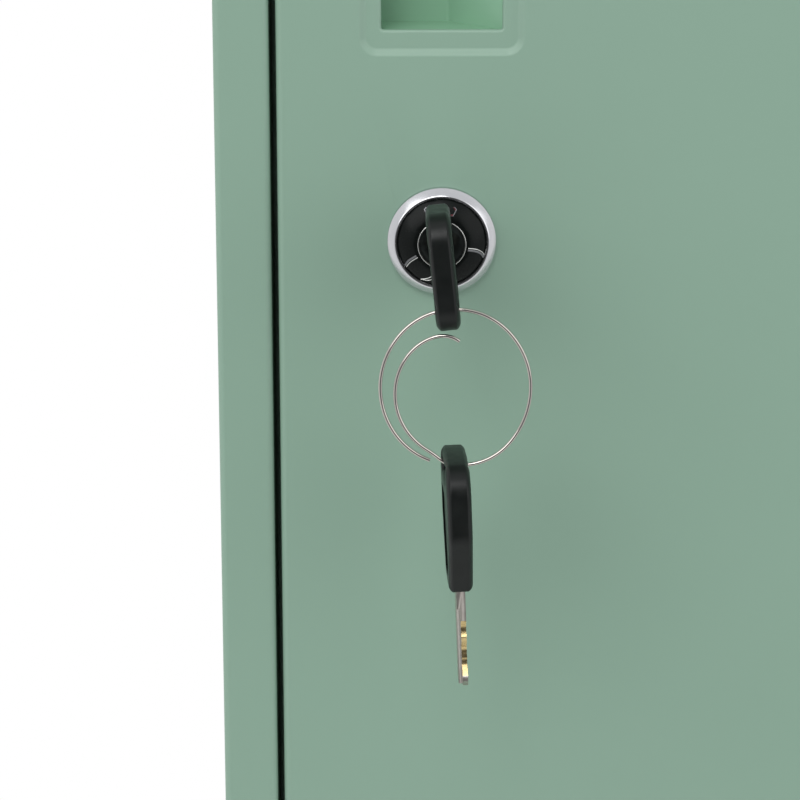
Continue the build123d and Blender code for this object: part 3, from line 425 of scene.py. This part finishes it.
def flat_between(shell, loops, normal):
    """Fills a flat region between an outer loop and the holes in it."""
    edges = []
    for loop in loops:
        for i, vertex in enumerate(loop):
            following = loop[(i + 1) % len(loop)]
            edge = shell.edges.get((vertex, following)) or shell.edges.new((vertex, following))
            edges.append(edge)
    bmesh.ops.triangle_fill(shell, use_beauty=True, edges=edges, normal=normal)


def arc(centre, radius, *degrees):
    """Points of a circle in the plane of a profile, at angles given as a range."""
    angles = [radians(angle) for angle in range(*degrees)]
    return [(centre[0] + radius * cos(angle), centre[1] + radius * sin(angle)) for angle in angles]


def turned(name, profile, steps=128):
    """A closed section of (radius, distance out) pairs, in millimetres, turned about the lock's axis."""
    shell = bmesh.new()
    around = [2 * pi * step / steps for step in range(steps)]
    loops = [
        add_loop(shell, [LOCK + Vector((radius * cos(a), -out, radius * sin(a))) * MM for a in around])
        for radius, out in profile
    ]
    for first, second in zip(loops, loops[1:] + loops[:1]):
        join_loops(shell, first, second)
    bmesh.ops.recalc_face_normals(shell, faces=shell.faces)
    mesh = new_mesh(name, shell)
    creased(mesh)
    return mesh


def ease(t):
    """A smooth step from 0 to 1."""
    return t * t * (3 - 2 * t)


# Node trees


def geometry_tree(name, numbers, counts=(), places=()):
    """Starts a geometry tree with named inputs, and gives the tree, its inputs' sockets and its output."""
    tree = bpy.data.node_groups.new(name, "GeometryNodeTree")
    for kind, labels in (("Float", numbers), ("Int", counts), ("Vector", places)):
        for label in labels:
            tree.interface.new_socket(name=label, in_out="INPUT", socket_type="NodeSocket" + kind)
    tree.interface.new_socket(name="Geometry", in_out="OUTPUT", socket_type="NodeSocketGeometry")
    return tree, add_node(tree, "NodeGroupInput").outputs, add_node(tree, "NodeGroupOutput")


def calculate(tree, operation, *terms):
    """Adds a math node on sockets or plain numbers, and gives its result."""
    node = add_node(tree, "ShaderNodeMath", settings={"operation": operation})
    for place, term in enumerate(terms):
        if isinstance(term, (int, float)):
            node.inputs[place].default_value = term
        else:
            tree.links.new(term, node.inputs[place])
    return node.outputs[0]


def joint_of(tree, *parts):
    """Joins pieces of geometry, in their order."""
    joint = add_node(tree, "GeometryNodeJoinGeometry")
    for part in parts:
        tree.links.new(part, joint.inputs["Geometry"])
    return joint.outputs["Geometry"]


def laid(tree, geometry):
    """Turns geometry that faces up so that it faces the user."""
    turn = add_node(
        tree, "GeometryNodeTransform", values={"Rotation": (pi / 2, 0, 0)}, links={"Geometry": geometry}
    )
    return turn.outputs["Geometry"]


def upright_rows(tree, pick, starts, geometry):
    """Copies geometry up from each of the named starts."""
    step = add_node(tree, "ShaderNodeCombineXYZ", links={"Z": pick["Pitch"]})
    rows = [
        add_node(
            tree,
            "GeometryNodeMeshLine",
            settings={"mode": "OFFSET"},
            links={"Count": pick["Count"], "Start Location": pick[start], "Offset": step.outputs["Vector"]},
        ).outputs["Mesh"]
        for start in starts
    ]
    copies = add_node(
        tree, "GeometryNodeInstanceOnPoints", links={"Points": joint_of(tree, *rows), "Instance": geometry}
    )
    return copies.outputs["Instances"]


def finish_tree(tree, output, geometry, finish):
    """Ends a tree: instances made real, smooth faces and a material."""
    real = add_node(tree, "GeometryNodeRealizeInstances", links={"Geometry": geometry})
    smooth = add_node(tree, "GeometryNodeSetShadeSmooth", links={"Geometry": real.outputs["Geometry"]})
    painted = add_node(
        tree,
        "GeometryNodeSetMaterial",
        values={"Material": finishes()[finish]},
        links={"Geometry": smooth.outputs["Geometry"]},
    )
    tree.links.new(painted.outputs["Geometry"], output.inputs["Geometry"])
    return tree


def run_tree(name, tree, values, *modifiers):
    """The plain mesh that a geometry tree makes with these inputs, then these modifiers."""
    holder = show(name, bpy.data.meshes.new(name))
    repeat = holder.modifiers.new("repeat", "NODES")
    repeat.node_group = tree
    for item in tree.interface.items_tree:
        if item.in_out == "INPUT":
            repeat[item.identifier] = values[item.name]
    return flattened(holder, name, modifiers)


def louvre_tree():
    """Pressed hoods in two stacks: each curves out to a lip that is open below and closed at its ends."""
    tree, pick, output = geometry_tree(
        "louvres",
        numbers=("Width", "Height", "Stand", "Lip", "End", "Sink", "Pitch"),
        counts=("Count",),
        places=("Lower", "Upper"),
    )
    blank = add_node(
        tree,
        "GeometryNodeMeshGrid",
        values={"Vertices X": 65, "Vertices Y": 13},
        links={"Size X": pick["Width"], "Size Y": pick["Height"]},
    )
    place = add_node(tree, "GeometryNodeInputPosition")
    parts = add_node(tree, "ShaderNodeSeparateXYZ", links={"Vector": place.outputs["Position"]})
    # The hood narrows to nothing over its rounded ends
    half = calculate(tree, "MULTIPLY", pick["Width"], 0.5)
    straight = calculate(tree, "SUBTRACT", half, pick["End"])
    past = calculate(tree, "SUBTRACT", calculate(tree, "ABSOLUTE", parts.outputs["X"]), straight)
    share = calculate(tree, "DIVIDE", calculate(tree, "MAXIMUM", past, 0.0), pick["End"])
    left = calculate(tree, "SUBTRACT", 1.0, calculate(tree, "MULTIPLY", share, share))
    ends = calculate(tree, "SQRT", calculate(tree, "MAXIMUM", left, 0.0))
    # From its top it swells out as a quarter of a sine wave and ends in the straight lip
    drop = calculate(tree, "SUBTRACT", calculate(tree, "MULTIPLY", pick["Height"], 0.5), parts.outputs["Y"])
    run = calculate(tree, "SUBTRACT", pick["Height"], pick["Lip"])
    along = calculate(tree, "MINIMUM", calculate(tree, "DIVIDE", drop, run), 1.0)
    rise = calculate(tree, "SINE", calculate(tree, "MULTIPLY", along, pi / 2))
    out = calculate(tree, "MULTIPLY", calculate(tree, "MULTIPLY", rise, ends), pick["Stand"])
    sunk = calculate(tree, "SUBTRACT", out, pick["Sink"])
    offset = add_node(tree, "ShaderNodeCombineXYZ", links={"Z": sunk})
    hood = add_node(
        tree,
        "GeometryNodeSetPosition",
        links={"Geometry": blank.outputs["Mesh"], "Offset": offset.outputs["Vector"]},
    )
    stacks = upright_rows(tree, pick, ("Upper", "Lower"), laid(tree, hood.outputs["Geometry"]))
    return finish_tree(tree, output, stacks, "polyester_powder_coat_satin")


def rivet_tree():
    """Blind rivets in two rows down the back: a low dome with the broken mandrel in its middle."""
    tree, pick, output = geometry_tree(
        "rivets", numbers=("Radius", "Rise", "Mandrel", "Pitch"), counts=("Count",), places=("Left", "Right")
    )
    ball = add_node(tree, "GeometryNodeMeshUVSphere", values={"Segments": 32, "Rings": 16, "Radius": 1.0})
    squat = add_node(tree, "ShaderNodeCombineXYZ", links={"X": pick["Radius"], "Y": pick["Rise"], "Z": pick["Radius"]})
    dome = add_node(
        tree,
        "GeometryNodeTransform",
        links={"Geometry": ball.outputs["Mesh"], "Scale": squat.outputs["Vector"]},
    )
    # The mandrel's end stays just under the dome's top
    stub = add_node(
        tree,
        "GeometryNodeMeshCylinder",
        values={"Vertices": 24},
        links={"Radius": pick["Mandrel"], "Depth": calculate(tree, "MULTIPLY", pick["Rise"], 1.96)},
    )
    rivet = joint_of(tree, dome.outputs["Geometry"], laid(tree, stub.outputs["Mesh"]))
    return finish_tree(tree, output, upright_rows(tree, pick, ("Left", "Right"), rivet), "bright_zinc_plate")


def spring_tree():
    """A close helix of round wire."""
    tree, pick, output = geometry_tree("coil", numbers=("Wire", "Radius", "Height", "Turns"), places=("Foot",))
    helix = add_node(
        tree,
        "GeometryNodeCurveSpiral",
        values={"Resolution": 48},
        links={
            "Rotations": pick["Turns"],
            "Start Radius": pick["Radius"],
            "End Radius": pick["Radius"],
            "Height": pick["Height"],
        },
    )
    section = add_node(
        tree,
        "GeometryNodeCurvePrimitiveCircle",
        values={"Resolution": 16},
        links={"Radius": calculate(tree, "MULTIPLY", pick["Wire"], 0.5)},
    )
    wire = add_node(
        tree,
        "GeometryNodeCurveToMesh",
        values={"Fill Caps": True},
        links={"Curve": helix.outputs["Curve"], "Profile Curve": section.outputs["Curve"]},
    )
    placed = add_node(
        tree,
        "GeometryNodeTransform",
        links={"Geometry": wire.outputs["Mesh"], "Translation": pick["Foot"]},
    )
    return finish_tree(tree, output, placed.outputs["Geometry"], "drawn_spring_steel")


# Operators


class LOCKER_OT_carcass(bpy.types.Operator):
    """Coats the folded panels of the cabinet, the plinth and the hat shelf"""

    bl_idname = "locker.carcass"
    bl_label = "Carcass"

    def execute(self, context):
        refinish_all(
            "polyester_powder_coat_satin",
            "side_panel_left",
            "side_panel_right",
            "back_panel",
            "top_panel",
            "base_panel",
            "plinth",
            "hat_shelf",
        )
        return {"FINISHED"}


# Shares of a louvre's width and height
VENT_HALF_WIDTH, VENT_HALF_HEIGHT, VENT_MIDDLE = 0.485, 0.45, 0.46
# What pressing leaves of the sheet's thickness in a louvre
LOUVRE_THINNED = 0.8


class LOCKER_OT_door(bpy.types.Operator):
    """Makes the door's skin with its rolled edges, dish and vents, and coats what is welded to it"""

    bl_idname = "locker.door"
    bl_label = "Door"

    def execute(self, context):
        sizes = context.scene.locker_sizes
        centre = (DOOR_LOW + DOOR_HIGH) / 2
        mesh = self.pressed_skin(sizes, centre)
        creased(mesh)
        sheet = {"thickness": sizes.sheet, "offset": -1.0, "use_even_offset": True}
        mesh = flattened(show("door_skin", mesh), "door_skin", [("SOLIDIFY", sheet), EVEN_SHADING])
        stand_in("door_skin", dress(mesh, "polyester_powder_coat_satin"))
        self.add_louvres(sizes, centre)
        # The pocket's greener coat is painted bounce light from its own walls
        refinish("handle_pocket", "powder_coat_with_painted_pocket_bounce")
        refinish("door_stiffener", "polyester_powder_coat_satin")
        return {"FINISHED"}

    def pressed_skin(self, sizes, centre):
        """The skin's outer surface, without its thickness."""
        shell = bmesh.new()
        edge = self.rolled_edge(shell, sizes, centre)
        for first, second in zip(edge, edge[1:]):
            join_loops(shell, second, first)
        dish = self.dish(shell, sizes)
        for first, second in zip(dish, dish[1:]):
            join_loops(shell, first, second)
        # The lock's hole and the vents, each a little smaller than its louvre and lower in it
        holes = [rounded_loop(LOCK, sizes.lock_hole, sizes.lock_hole, sizes.lock_hole, FRONT, 8)]
        half_x = sizes.louvre_width * VENT_HALF_WIDTH
        half_z = sizes.louvre_height * VENT_HALF_HEIGHT
        for low in louvre_feet(sizes):
            middle = Vector((centre.x, FRONT, low + sizes.louvre_height * VENT_MIDDLE))
            holes.append(rounded_loop(middle, half_x, half_z, 1 * MM, FRONT, 3))
        holes = [add_loop(shell, hole) for hole in holes]
        flat_between(shell, [edge[0], dish[0]] + holes, Vector((0, -1, 0)))
        return faced("door_skin", shell, max(shell.faces, key=lambda face: face.calc_area()))

    def rolled_edge(self, shell, sizes, centre):
        """Loops from the face round the first bend, back along the return and in along the flange."""
        half = (DOOR_HIGH - DOOR_LOW) / 2
        depth = DOOR_HIGH.y - FRONT
        bend = sizes.bend
        quarter = [radians(angle) for angle in range(0, 91, 15)]
        profile = [(bend - bend * sin(a), bend - bend * cos(a)) for a in quarter]
        profile += [(bend - bend * cos(a), depth - bend + bend * sin(a)) for a in quarter]
        profile.append((sizes.door_return, depth))
        return [
            add_loop(
                shell,
                rounded_loop(centre, half.x - inset, half.z - inset, max(2 * bend - inset, bend / 2), FRONT + back),
            )
            for inset, back in profile
        ]

    def dish(self, shell, sizes):
        """Loops down the dish's rounded wall, over its flat floor and round the opening's punched edge."""
        pull = LOCK + Vector((0, 0, sizes.pull_rise))
        dish = (sizes.dish_half_width, sizes.dish_half_height, sizes.dish_corner)
        opening = (sizes.pull_half_width, sizes.pull_half_height - sizes.pull_lap, sizes.pull_corner)
        rings = []
        for share in [step / 8 for step in range(9)]:
            # A quarter of the wall's width lies outside the dish's outline
            rings.append((dish, (0.25 - share) * sizes.dish_slope, ease(share) * sizes.dish_depth))
        for angle in [radians(angle) for angle in (0, 20, 45, 70, 90)]:
            back = sizes.dish_depth + sizes.pull_edge * (1 - cos(angle))
            rings.append((opening, sizes.pull_edge * (1 - sin(angle)), back))
        return [
            add_loop(shell, rounded_loop(pull, *[length + grow for length in outline], FRONT + back))
            for outline, grow, back in rings
        ]

    def add_louvres(self, sizes, centre):
        """Two stacks of louvres, the lower one upwards from the first foot."""
        feet = louvre_feet(sizes)
        middle = sizes.louvre_height / 2
        mesh = run_tree(
            "door_louvres",
            louvre_tree(),
            {
                "Width": sizes.louvre_width,
                "Height": sizes.louvre_height,
                "Stand": sizes.louvre_stand,
                "Lip": sizes.louvre_lip,
                "End": sizes.louvre_end,
                "Sink": sizes.louvre_sink,
                "Pitch": sizes.louvre_pitch,
                "Count": sizes.louvre_count,
                "Lower": (centre.x, FRONT, feet[0] + middle),
                "Upper": (centre.x, FRONT, feet[sizes.louvre_count] + middle),
            },
            ("SOLIDIFY", {"thickness": sizes.sheet * LOUVRE_THINNED, "offset": -1.0, "use_even_offset": False}),
        )
        add_piece("door_louvres", mesh, "door")


def louvre_feet(sizes):
    """Heights of the louvres' mouths, from the lowest up."""
    stack = sizes.louvre_pitch * (sizes.louvre_count - 1) + sizes.louvre_height
    starts = (DOOR_LOW.z + sizes.louvre_margin, DOOR_HIGH.z - sizes.louvre_margin - stack)
    return [start + sizes.louvre_pitch * row for start in starts for row in range(sizes.louvre_count)]


class LOCKER_OT_fasteners(bpy.types.Operator):
    """Makes the rivets down the back and finishes the bolts, nuts, screws and clips"""

    bl_idname = "locker.fasteners"
    bl_label = "Fasteners"

    def execute(self, context):
        sizes = context.scene.locker_sizes
        low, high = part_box("back_rivets")
        side = high.x - sizes.rivet_head
        foot = low.z + sizes.rivet_head
        pitch = (high.z - low.z - 2 * sizes.rivet_head) / (sizes.rivet_count - 1)
        mesh = run_tree(
            "back_rivets",
            rivet_tree(),
            {
                "Radius": sizes.rivet_head,
                "Rise": sizes.rivet_rise,
                "Mandrel": sizes.rivet_mandrel,
                "Pitch": pitch,
                "Count": sizes.rivet_count,
                "Left": (-side, CABINET_HIGH.y, foot),
                "Right": (side, CABINET_HIGH.y, foot),
            },
        )
        stand_in("back_rivets", mesh)
        refinish_all("bright_zinc_plate", "plinth_bolts", "plinth_nuts", "rail_screws", "shelf_clips")
        return {"FINISHED"}


class LOCKER_OT_fittings(bpy.types.Operator):
    """Finishes the hanging rail, its sockets, the buffers and the hinge bushes"""

    bl_idname = "locker.fittings"
    bl_label = "Fittings"

    def execute(self, context):
        refinish("hanging_rail", "chrome_plated_tube")
        refinish_all("satin_black_nylon", "rail_socket_left", "rail_socket_right")
        refinish("door_buffers", "moulded_rubber")
        refinish_all("natural_nylon", "hinge_bush_top", "hinge_bush_bottom")
        return {"FINISHED"}


class LOCKER_OT_hinges(bpy.types.Operator):
    """Finishes the hinge brackets and pins and winds the spring of the upper pin"""

    bl_idname = "locker.hinges"
    bl_label = "Hinges"

    def execute(self, context):
        refinish_all(
            "bright_zinc_plate",
            "hinge_bracket_top",
            "hinge_bracket_bottom",
            "hinge_pin_bottom",
            "hinge_pin_top",
            "pin_collar",
        )
        sizes = context.scene.locker_sizes
        low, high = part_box("hinge_spring")
        foot = Vector(((low.x + high.x) / 2, (low.y + high.y) / 2, low.z + sizes.spring_wire / 2))
        mesh = run_tree(
            "hinge_spring",
            spring_tree(),
            {
                "Wire": sizes.spring_wire,
                "Radius": sizes.spring_radius,
                "Height": high.z - low.z - sizes.spring_wire,
                "Turns": sizes.spring_turns,
                "Foot": foot,
            },
        )
        spring = stand_in("hinge_spring", mesh)
        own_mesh(spring)
        return {"FINISHED"}


# The lock, in millimetres. Its black face falls in a low curve from 5 mm at the plug to 2.85 mm at the bezel
FACE_INNER, FACE_WIDTH = 6.4, 4.2
FACE_HEIGHT, FACE_SLOPE, FACE_CURVE = 5.0, 0.85, 1.3
# Rounds of the bezel's section and of the plug's rim, each a centre of (radius, distance out) and a radius
BEZEL_FOOT = (12.75, 1.5), 0.25
BEZEL_CREST = (11.05, 2.62), 0.65
PLUG_RIM = (5.66, 5.3), 0.16
# What is raised on the face: a name and its points, right of the lock's axis and above it
LINE_RADIUS, RIB_RADIUS = 0.13, 0.3
FACE_LINES = {
    "face_line_right": ((6.2, -0.95), (7.9, -1.15), (9.2, -1.85), (9.9, -2.5), (10.1, -3.3)),
    "face_line_left": ((-5.7, -3.1), (-6.9, -3.9), (-7.9, -4.8), (-8.4, -5.8)),
    "face_line_low": ((2.2, -7.6), (-1.4, -7.6), (-2.4, -7.9), (-3.4, -8.6), (-5.0, -8.9)),
    "face_line_lower": ((2.2, -8.4), (-1.2, -8.4), (-2.3, -8.6), (-3.0, -9.2), (-4.6, -9.0)),
}
FACE_RIBS = {
    "face_rib_right": ((6.1, -1.4), (7.7, -1.65), (8.9, -2.25), (9.6, -2.85), (9.8, -3.5)),
    "face_rib_left": ((-6.0, -2.75), (-7.2, -3.5), (-8.2, -4.4), (-8.7, -5.4)),
}
MARK_OUTLINE = ((-4.3, 8.3), (-3.8, 8.85), (3.1, 8.85), (3.6, 8.3), (2.7, 6.8), (-3.4, 6.8))
MARK_MIDDLE = 8.0
# The mark's frame, as scales of its outline and lifts over the face: up its outside, over its top and down to the field
MARK_FRAME = ((1.0, -0.3), (1.0, 0.08), (0.95, 0.08), (0.93, 0.02))


def on_face(u, v, lift=0.0):
    """A place on the black face, u to the right of the lock's axis and v above it, in millimetres."""
    radius = (u * u + v * v) ** 0.5
    share = (radius - FACE_INNER) / FACE_WIDTH
    out = FACE_HEIGHT - FACE_SLOPE * share - FACE_CURVE * share * share
    return LOCK + Vector((u, -(out + lift), v)) * MM


def raised_line(name, points, radius):
    """A thin half-round line pressed up along these points of the lock's face."""
    curve = bpy.data.curves.new(name, "CURVE")
    curve.dimensions = "3D"
    curve.bevel_depth = radius * MM
    curve.bevel_resolution = 2
    curve.use_fill_caps = True
    curve.resolution_u = 8
    spline = curve.splines.new("NURBS")
    spline.points.add(len(points) - 1)
    for point, (u, v) in zip(spline.points, points):
        point.co = (*on_face(u, v), 1.0)
    spline.order_u = 3
    spline.use_endpoint_u = True
    return flattened(show(name, curve), name)


class LOCKER_OT_lock(bpy.types.Operator):
    """Finishes the cam lock: bezel, black face with its raised lines and mark, plug and cam"""

    bl_idname = "locker.lock"
    bl_label = "Lock"

    def execute(self, context):
        # Foot, low cone and rounded crest of the bezel, then back behind its lip
        section = [(13.0, 0.0), *arc(*BEZEL_FOOT, 0, 51, 10), *arc(*BEZEL_CREST, 50, 141, 10), (10.5, 2.7), (10.5, 0.0)]
        bezel = turned("lock_bezel", section)
        stand_in("lock_bezel", dress(bezel, "chrome_plated_zinc_casting"))
        refinish("lock_face", "gloss_black_abs", angle=50)
        refinish_all("bright_zinc_plate", "lock_housing", "lock_nut", "lock_cam", "cam_washer", "cam_screw")
        refinish("lock_plug", "dark_nickel_plate", angle=40)
        rim = dress(turned("plug_rim", arc(*PLUG_RIM, 0, 360, 30)), "polished_nickel_rim")
        add_piece("plug_rim", rim, "plug")
        for raised, radius, finish in (
            (FACE_LINES, LINE_RADIUS, "polished_nickel_rim"),
            (FACE_RIBS, RIB_RADIUS, "satin_nickel_rib"),
        ):
            for name, points in raised.items():
                add_piece(name, dress(raised_line(name, points, radius), finish), "door")
        self.add_mark()
        return {"FINISHED"}

    def add_mark(self):
        """A metal frame round a shallow field, red on its right half and black on its left."""
        shell = bmesh.new()
        rings = []
        for scale, lift in MARK_FRAME:
            points = [(u * scale, MARK_MIDDLE + (v - MARK_MIDDLE) * scale) for u, v in MARK_OUTLINE]
            rings.append(add_loop(shell, [on_face(u, v, lift) for u, v in points]))
        for first, second in zip(rings, rings[1:]):
            join_loops(shell, first, second)
        field = rings[-1]
        middle = shell.verts.new(on_face(0, MARK_MIDDLE, MARK_FRAME[-1][1]))
        for i, vertex in enumerate(field):
            enamelled = shell.faces.new((vertex, field[(i + 1) % len(field)], middle))
            enamelled.material_index = 1 if vertex.co.x > LOCK.x else 2
        mesh = faced("position_mark", shell, enamelled)
        dress(mesh, "satin_nickel_rib", "red_enamel", "gloss_black_abs")
        add_piece("position_mark", mesh, "door")


class LOCKER_OT_keys(bpy.types.Operator):
    """Finishes both keys, with bare brass where their blades are cut, and the wire ring"""

    bl_idname = "locker.keys"
    bl_label = "Keys"

    def execute(self, context):
        sizes = context.scene.locker_sizes
        for node in ("key_head", "spare_key_head"):
            self.add_head(sizes, node)
        # The cuts open up in the lock and towards the user on the spare, whose tip hangs down
        self.add_blade("key_blade", Vector((-0.1, 0, 0.995)), Vector((0, 1, 0)))
        self.add_blade("spare_key_blade", Vector((0.04, -0.999, 0)), Vector((0, 0, -1)))
        refinish("key_ring", "bright_drawn_wire", angle=60)
        return {"FINISHED"}

    def add_head(self, sizes, node):
        """Rounds a moulded head's edges further towards its two faces, and gives it its nylon."""
        mesh = joined(node)
        low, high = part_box(node)
        middle = (low + high) / 2
        across = max(mesh.polygons, key=lambda face: face.area).normal.copy()
        half = max(abs((vertex.co - middle).dot(across)) for vertex in mesh.vertices)
        for vertex in mesh.vertices:
            off = vertex.co - middle
            deep = off.dot(across)
            share = max(0.0, abs(deep) - half + sizes.head_round) / sizes.head_round
            drawn = sizes.head_draw * share * share / ((high.z - low.z) / 2)
            flat = off - across * deep
            vertex.co = middle + across * deep + flat * (1 - drawn)
        stand_in(node, dress(even(node, mesh, 40), "satin_black_nylon"))

    def add_blade(self, node, out, along, shallow=0.3 * MM, deep=2.7 * MM, bare_end=2 * MM):
        """Finishes a blade, with brass in the cuts that open one way, up to its end in the other."""
        mesh = refinish(node, "milled_nickel_silver", "milled_brass").data
        edge = max(vertex.co.dot(out) for vertex in mesh.vertices)
        tip = max(vertex.co.dot(along) for vertex in mesh.vertices)
        for face in mesh.polygons:
            cut = shallow < edge - face.center.dot(out) < deep and face.normal.dot(out) > 0.5
            if cut and tip - face.center.dot(along) > bare_end:
                face.material_index = 1


class LOCKER_OT_stage(bpy.types.Operator):
    """Adds the floor, the lights, the backdrop and the camera"""

    bl_idname = "locker.stage"
    bl_label = "Stage"

    def execute(self, context):
        stage = context.scene.locker_stage
        self.add_floor(stage, tuple(context.scene.locker_colours.floor))
        self.add_light("soft_left", (-1.9, -2.4, 2.6), (0, 0, 1.0), 3.0, 40)
        self.add_light("soft_right", (2.3, -2.2, 1.7), (0, 0, 0.9), 3.0, 20)
        self.add_light("soft_top", (-0.5, -2.6, 3.3), (0, 0, 1.0), 1.6, 24)
        self.add_backdrop()
        self.add_camera(stage)
        context.scene.view_settings.view_transform = "Standard"
        return {"FINISHED"}

    def add_floor(self, stage, paint):
        """A pale disc that fades out towards its rim."""
        shell = bmesh.new()
        bmesh.ops.create_circle(shell, cap_ends=True, cap_tris=False, segments=96, radius=stage.floor_radius)
        mesh = new_mesh("studio_floor", shell)
        finish, tree, shader = new_finish("painted_floor", **{"Roughness": 0.6, "Base Color": paint})
        place = add_node(tree, "ShaderNodeTexCoord")
        far = add_node(
            tree,
            "ShaderNodeVectorMath",
            settings={"operation": "LENGTH"},
            links={0: place.outputs["Object"]},
        )
        rim = (stage.floor_radius * 0.55, stage.floor_radius * 0.98)
        fade = mapped(tree, far.outputs["Value"], 0.0, 1.0, rim, "SMOOTHSTEP")
        clear = add_node(tree, "ShaderNodeBsdfTransparent")
        blend = add_node(
            tree,
            "ShaderNodeMixShader",
            links={0: fade, 1: shader.outputs["BSDF"], 2: clear.outputs["BSDF"]},
        )
        output = next(node for node in tree.nodes if node.type == "OUTPUT_MATERIAL")
        tree.links.new(blend.outputs["Shader"], output.inputs["Surface"])
        mesh.materials.append(finish)
        show("studio_floor", mesh)

    def add_light(self, name, place, target, width, power):
        lamp = bpy.data.lights.new(name, "AREA")
        lamp.shape = "DISK"
        lamp.size = width
        lamp.energy = power
        holder = show(name, lamp)
        holder.location = place
        holder.rotation_euler = (Vector(target) - Vector(place)).to_track_quat("-Z", "Y").to_euler()

    def add_backdrop(self):
        world = bpy.data.worlds.new("studio")
        world.use_nodes = True
        tree = world.node_tree
        tree.nodes.clear()
        path = add_node(tree, "ShaderNodeLightPath")
        way = add_node(tree, "ShaderNodeTexCoord")
        parts = add_node(tree, "ShaderNodeSeparateXYZ", links={"Vector": way.outputs["Generated"]})
        # White paper stands behind the locker, and the room before it is dim
        behind = mapped(tree, parts.outputs["Y"], 0.0, 1.0, (-0.35, 0.15), "SMOOTHSTEP")
        mirrored = calculate(tree, "MAXIMUM", path.outputs["Is Glossy Ray"], path.outputs["Is Transmission Ray"])
        mirrored = calculate(tree, "MULTIPLY", mirrored, behind)
        seen = calculate(tree, "MAXIMUM", path.outputs["Is Camera Ray"], mirrored)
        # The room is darkest straight before the door, where its user stands
        front = mapped(tree, parts.outputs["Y"], 0.1, 0.85, (-0.97, -0.7), "SMOOTHSTEP")
        soft = add_node(
            tree, "ShaderNodeBackground", values={"Color": linear("#F4F6F8")}, links={"Strength": front}
        )
        white = add_node(tree, "ShaderNodeBackground", values={"Color": (1, 1, 1, 1), "Strength": 1.0})
        blend = add_node(
            tree,
            "ShaderNodeMixShader",
            links={0: seen, 1: soft.outputs["Background"], 2: white.outputs["Background"]},
        )
        add_node(tree, "ShaderNodeOutputWorld", links={"Surface": blend.outputs["Shader"]})
        bpy.context.scene.world = world

    def add_camera(self, stage):
        lens = bpy.data.cameras.new("view")
        lens.lens = stage.lens
        lens.sensor_width = 36
        lens.clip_start = 0.01
        camera = show("view", lens)
        camera.location = LOCK + Vector((stage.side, -stage.reach, stage.rise))
        aim = Euler((0, 0, stage.yaw)).to_matrix() @ Euler((pi / 2 - stage.pitch, 0, 0)).to_matrix()
        camera.rotation_euler = (aim @ Euler((0, 0, stage.roll)).to_matrix()).to_euler()
        bpy.context.scene.camera = camera


class LOCKER_PT_panel(bpy.types.Panel):
    """Lists what dresses the locker"""

    bl_idname = "LOCKER_PT_panel"
    bl_label = "Clothes Locker"
    bl_space_type = "VIEW_3D"
    bl_region_type = "UI"
    bl_category = "Locker"

    def draw(self, context):
        for operator in OPERATORS:
            self.layout.operator(operator.bl_idname)
        for group in (context.scene.locker_colours, context.scene.locker_sizes, context.scene.locker_stage):
            box = self.layout.box()
            for name in group.__annotations__:
                box.prop(group, name)


OPERATORS = (
    LOCKER_OT_carcass,
    LOCKER_OT_door,
    LOCKER_OT_fasteners,
    LOCKER_OT_fittings,
    LOCKER_OT_hinges,
    LOCKER_OT_lock,
    LOCKER_OT_keys,
    LOCKER_OT_stage,
)
CLASSES = (LockerColours, LockerSizes, LockerStage) + OPERATORS + (LOCKER_PT_panel,)


def register():
    for item in CLASSES:
        bpy.utils.register_class(item)
    bpy.types.Scene.locker_colours = PointerProperty(type=LockerColours)
    bpy.types.Scene.locker_sizes = PointerProperty(type=LockerSizes)
    bpy.types.Scene.locker_stage = PointerProperty(type=LockerStage)


def unregister():
    del bpy.types.Scene.locker_stage
    del bpy.types.Scene.locker_sizes
    del bpy.types.Scene.locker_colours
    for item in reversed(CLASSES):
        bpy.utils.unregister_class(item)


def main():
    register()
    bpy.ops.locker.carcass()
    bpy.ops.locker.door()
    bpy.ops.locker.fasteners()
    bpy.ops.locker.fittings()
    bpy.ops.locker.hinges()
    bpy.ops.locker.lock()
    bpy.ops.locker.keys()
    bpy.ops.locker.stage()


if __name__ == "__main__":
    main()
